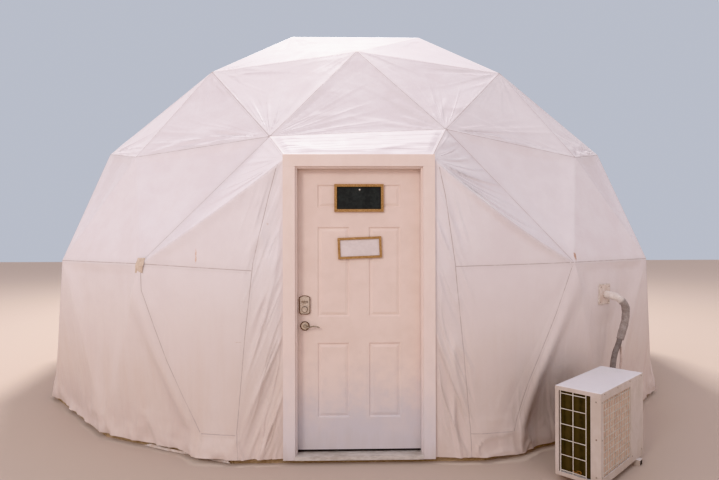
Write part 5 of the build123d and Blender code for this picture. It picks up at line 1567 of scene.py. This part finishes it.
# %% Guard mesh and wire
WIRE_RADIUS = 0.0016
MESH_PITCH, MESH_WIDE, MESH_THICK = 0.0095, 0.0052, 0.0009
BAY_LOW_X, BAY_HIGH_X, MESH_DEEP = -0.3365, 0.129, 0.0085
mesh_low, mesh_high, depth = GUARD_LOW + 0.001, GUARD_HIGH - 0.001, -HALF_DEEP + MESH_DEEP
columns = np.arange(BAY_LOW_X + 0.004, BAY_HIGH_X, MESH_PITCH)
rows = np.arange(mesh_low + 0.004, mesh_high, MESH_PITCH)
middles = ([(x, depth, (mesh_low + mesh_high) / 2) for x in columns]
           + [((BAY_LOW_X + BAY_HIGH_X) / 2, depth + MESH_THICK, z) for z in rows])
sizes = ([(MESH_WIDE / 2, MESH_THICK / 2, (mesh_high - mesh_low) / 2)] * len(columns)
         + [((BAY_HIGH_X - BAY_LOW_X) / 2, MESH_THICK / 2, MESH_WIDE / 2)] * len(rows))
dusty_mesh = rigid_finish("dusty_mesh", (0.80, 0.62, 0.50), (0.68, 0.50, 0.39), 30.0, shine=(0.6, 0.8))
rigid_piece("guard_mesh", [straight_bars(np.array(middles), np.array(sizes))], dusty_mesh,
            smooth=False)
WIRE_STEPS = ((0.030, 0.098), (0.018, 0.088), (0.000, 0.092), (-0.012, 0.084), (-0.028, 0.094),
              (-0.020, 0.106), (0.004, 0.101))
wire_route = smooth_route([unit_point(-HALF_LONG - 0.004, y, z) for y, z in WIRE_STEPS], 10)
wire = tube_arrays(wire_route, lambda along, turn: WIRE_RADIUS, 8, unit_along)[:2]
rusty = rigid_finish("rusty_wire", (0.62, 0.30, 0.09), (0.34, 0.14, 0.05), 150.0, shine=(0.5, 0.7))
rigid_piece("wire_loop", [wire], rusty)
print("guard mesh of", len(middles), "strips")

# %% [markdown]
# Inside, every tube end is bolted through its hub plate. The nuts are seen as soon as the door opens, so
# each of them is there: one hexagonal template, placed at every tube end by array arithmetic.

# %% Hub nuts
NUT_HALF, NUT_HEIGHT = 0.0085, 0.007
BOLT_REACH, PLATE_UNDERSIDE = 0.052, 0.0165


def strut_ends():
    """Hub, direction along the tab and outward normal, for both ends of every tube."""
    panels = [panel for panel in ALL_PANELS if DOORWAY_HUB not in panel]
    edges = sorted({tuple(sorted((panel[i], panel[i - 1]))) for panel in panels for i in range(3)})
    spots, runs, normals = [], [], []
    for first, second in edges:
        for key, other in ((first, second), (second, first)):
            normal = hub_out(key)
            run = HUBS[other] - HUBS[key]
            run = run - normal * (run @ normal)
            spots.append(HUBS[key])
            runs.append(unit(run))
            normals.append(normal)
    return np.array(spots), np.array(runs), np.array(normals)


spots, runs, normals = strut_ends()
angle = np.arange(6) * np.pi / 3
ring = np.stack([np.cos(angle), np.sin(angle), np.zeros(6)], -1) * NUT_HALF
template = np.concatenate([ring, ring - UPWARDS * NUT_HEIGHT])
corner, following = np.arange(6), (np.arange(6) + 1) % 6
hexagon = np.concatenate([halves(np.stack([corner, following, 6 + following, 6 + corner], -1)),
                          [[0, i, i + 1] for i in range(1, 5)], [[6, 7 + i, 6 + i] for i in range(1, 5)]])
bolts = spots + runs * BOLT_REACH - normals * PLATE_UNDERSIDE
across = np.cross(normals, runs)
nuts = (bolts[:, None] + runs[:, None] * template[None, :, :1] + across[:, None] * template[None, :, 1:2]
        + normals[:, None] * template[None, :, 2:])
nut_faces = (np.arange(len(bolts)) * 12)[:, None, None] + hexagon[None]
rigid_piece("hub_nuts", [(nuts.reshape(-1, 3), nut_faces.reshape(-1, 3))], finishes["hub_steel"],
            smooth=False)
print(len(bolts), "nuts")

# %% [markdown]
# A few small things were added to the cover by hand or came loose. A square of cream tape covers a worn
# spot over the left waist hub. It is a sheet laid on the cloth, and lifts a little at one corner.

# %% Tape patch
TAPE_HALF_WIDE, TAPE_HALF_TALL, TAPE_THICK = 0.036, 0.056, 0.0006
TAPE_GRID = (25, 33)


def tape_patch():
    """Square grid across the hub: its edges slump back, it has a faint wave, and one corner is raised."""
    s, t = np.meshgrid(*(np.linspace(-1, 1, count) for count in TAPE_GRID), indexing="ij")
    s, t = s.ravel(), t.ravel()
    normal = unit(hub_out(("waist_b", 4)) * (1, 1, 0.35))
    level = unit(np.cross((0, 0, 1), normal))
    upward = np.cross(normal, level) + 0.2 * level
    centre = cloth_spot(("waist_b", 4)) + np.array([0.0, 0.0, -0.012]) + normal * 0.009
    ragged = 1 + 0.05 * np.sin(t * 5 + 1)
    slump = -0.005 * np.abs(s) ** 1.5 - 0.012 * np.maximum(-t, 0) ** 1.5 - 0.008 * np.maximum(t, 0) ** 1.5
    lift = slump + 0.004 * np.maximum(s * -t - 0.6, 0) + 0.0006 * np.sin(s * 4 + t * 9)
    points = (centre + (s * ragged * TAPE_HALF_WIDE)[:, None] * level + (t * TAPE_HALF_TALL)[:, None] * upward
              + lift[:, None] * normal)
    return points, halves(grid_quads(TAPE_GRID))


tape_finish = rigid_finish("tape", (0.74, 0.62, 0.52), (0.62, 0.50, 0.40), 30.0, shine=(0.5, 0.7))
tape = new_object("tape_patch", new_mesh("tape_patch", *tape_patch()), tape_finish)
thicken(tape, TAPE_THICK, 0)
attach(tape, "root")
print("tape patch of", len(tape.data.polygons), "faces")

# %% [markdown]
# Below the boards a strip of the cover's lower edge hangs out along one bay. It is a grid of lengths along
# the bay by heights, and a white pin holds the upper sign: the same flattened half ball as the screws.

# %% Loose edge and pin
STRIP_TALL, STRIP_FROM, STRIP_TO = 0.026, 0.33, 0.985
STRIP_GRID = (221, 7)


def hem_strip():
    """Loose edge of the cover below the boards: it stands off them by a slope and a drift of the length, and
    rises and falls with another drift."""
    s, t = np.meshgrid(*(np.linspace(0, 1, count) for count in STRIP_GRID), indexing="ij")
    s, t = s.ravel(), t.ravel()
    corners = np.array([cloth_spot(key) * (1, 1, 0) for key in (("base_m", 4), ("base_b", 4))])
    run = corners[1] - corners[0]
    span = STRIP_FROM + (STRIP_TO - STRIP_FROM) * s
    out = unit(np.cross(run, UPWARDS))
    out *= np.sign(out @ corners[0])
    length = span * np.linalg.norm(run)
    tall = STRIP_TALL * (0.75 + 0.25 * ripple(81, length * 3, length * 0))
    tall = tall * eased(s, 0, 0.1) * eased(1 - s, 0, 0.04)
    stand = 0.004 + 0.010 * t + 0.006 * ripple(82, length * 9, t * 2)
    points = corners[0] + span[:, None] * run + stand[:, None] * out
    points[:, 2] = 0.003 + tall * (1 - t)
    return points, halves(grid_quads(STRIP_GRID)), np.linalg.norm(run) * (STRIP_TO - STRIP_FROM)


points, faces, strip_length = hem_strip()
strip_finish = rigid_finish("hem_edge", (0.78, 0.70, 0.66), (0.62, 0.50, 0.42), 14.0, shine=(0.5, 0.7))
strip = new_object("loose_hem_edge", new_mesh("loose_hem_edge", points, faces), strip_finish)
thicken(strip, CLOTH_THICK, 0)
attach(strip, "root")

PIN_SPOT = np.array([0.005, -3.3135, 1.9435])
pin = dome_head(PIN_SPOT, np.array([0.0, -1.0, 0.0]), np.array([1.0, 0.0, 0.0]), 0.0062, 0.0045)
pin_finish = rigid_finish("pin_enamel", (0.86, 0.84, 0.80), (0.78, 0.75, 0.70), 60.0, shine=(0.2, 0.3))
rigid_piece("sign_pin", [pin], pin_finish, body="door")
print("loose edge", round(float(strip_length), 3), "m long, and the pin is on")
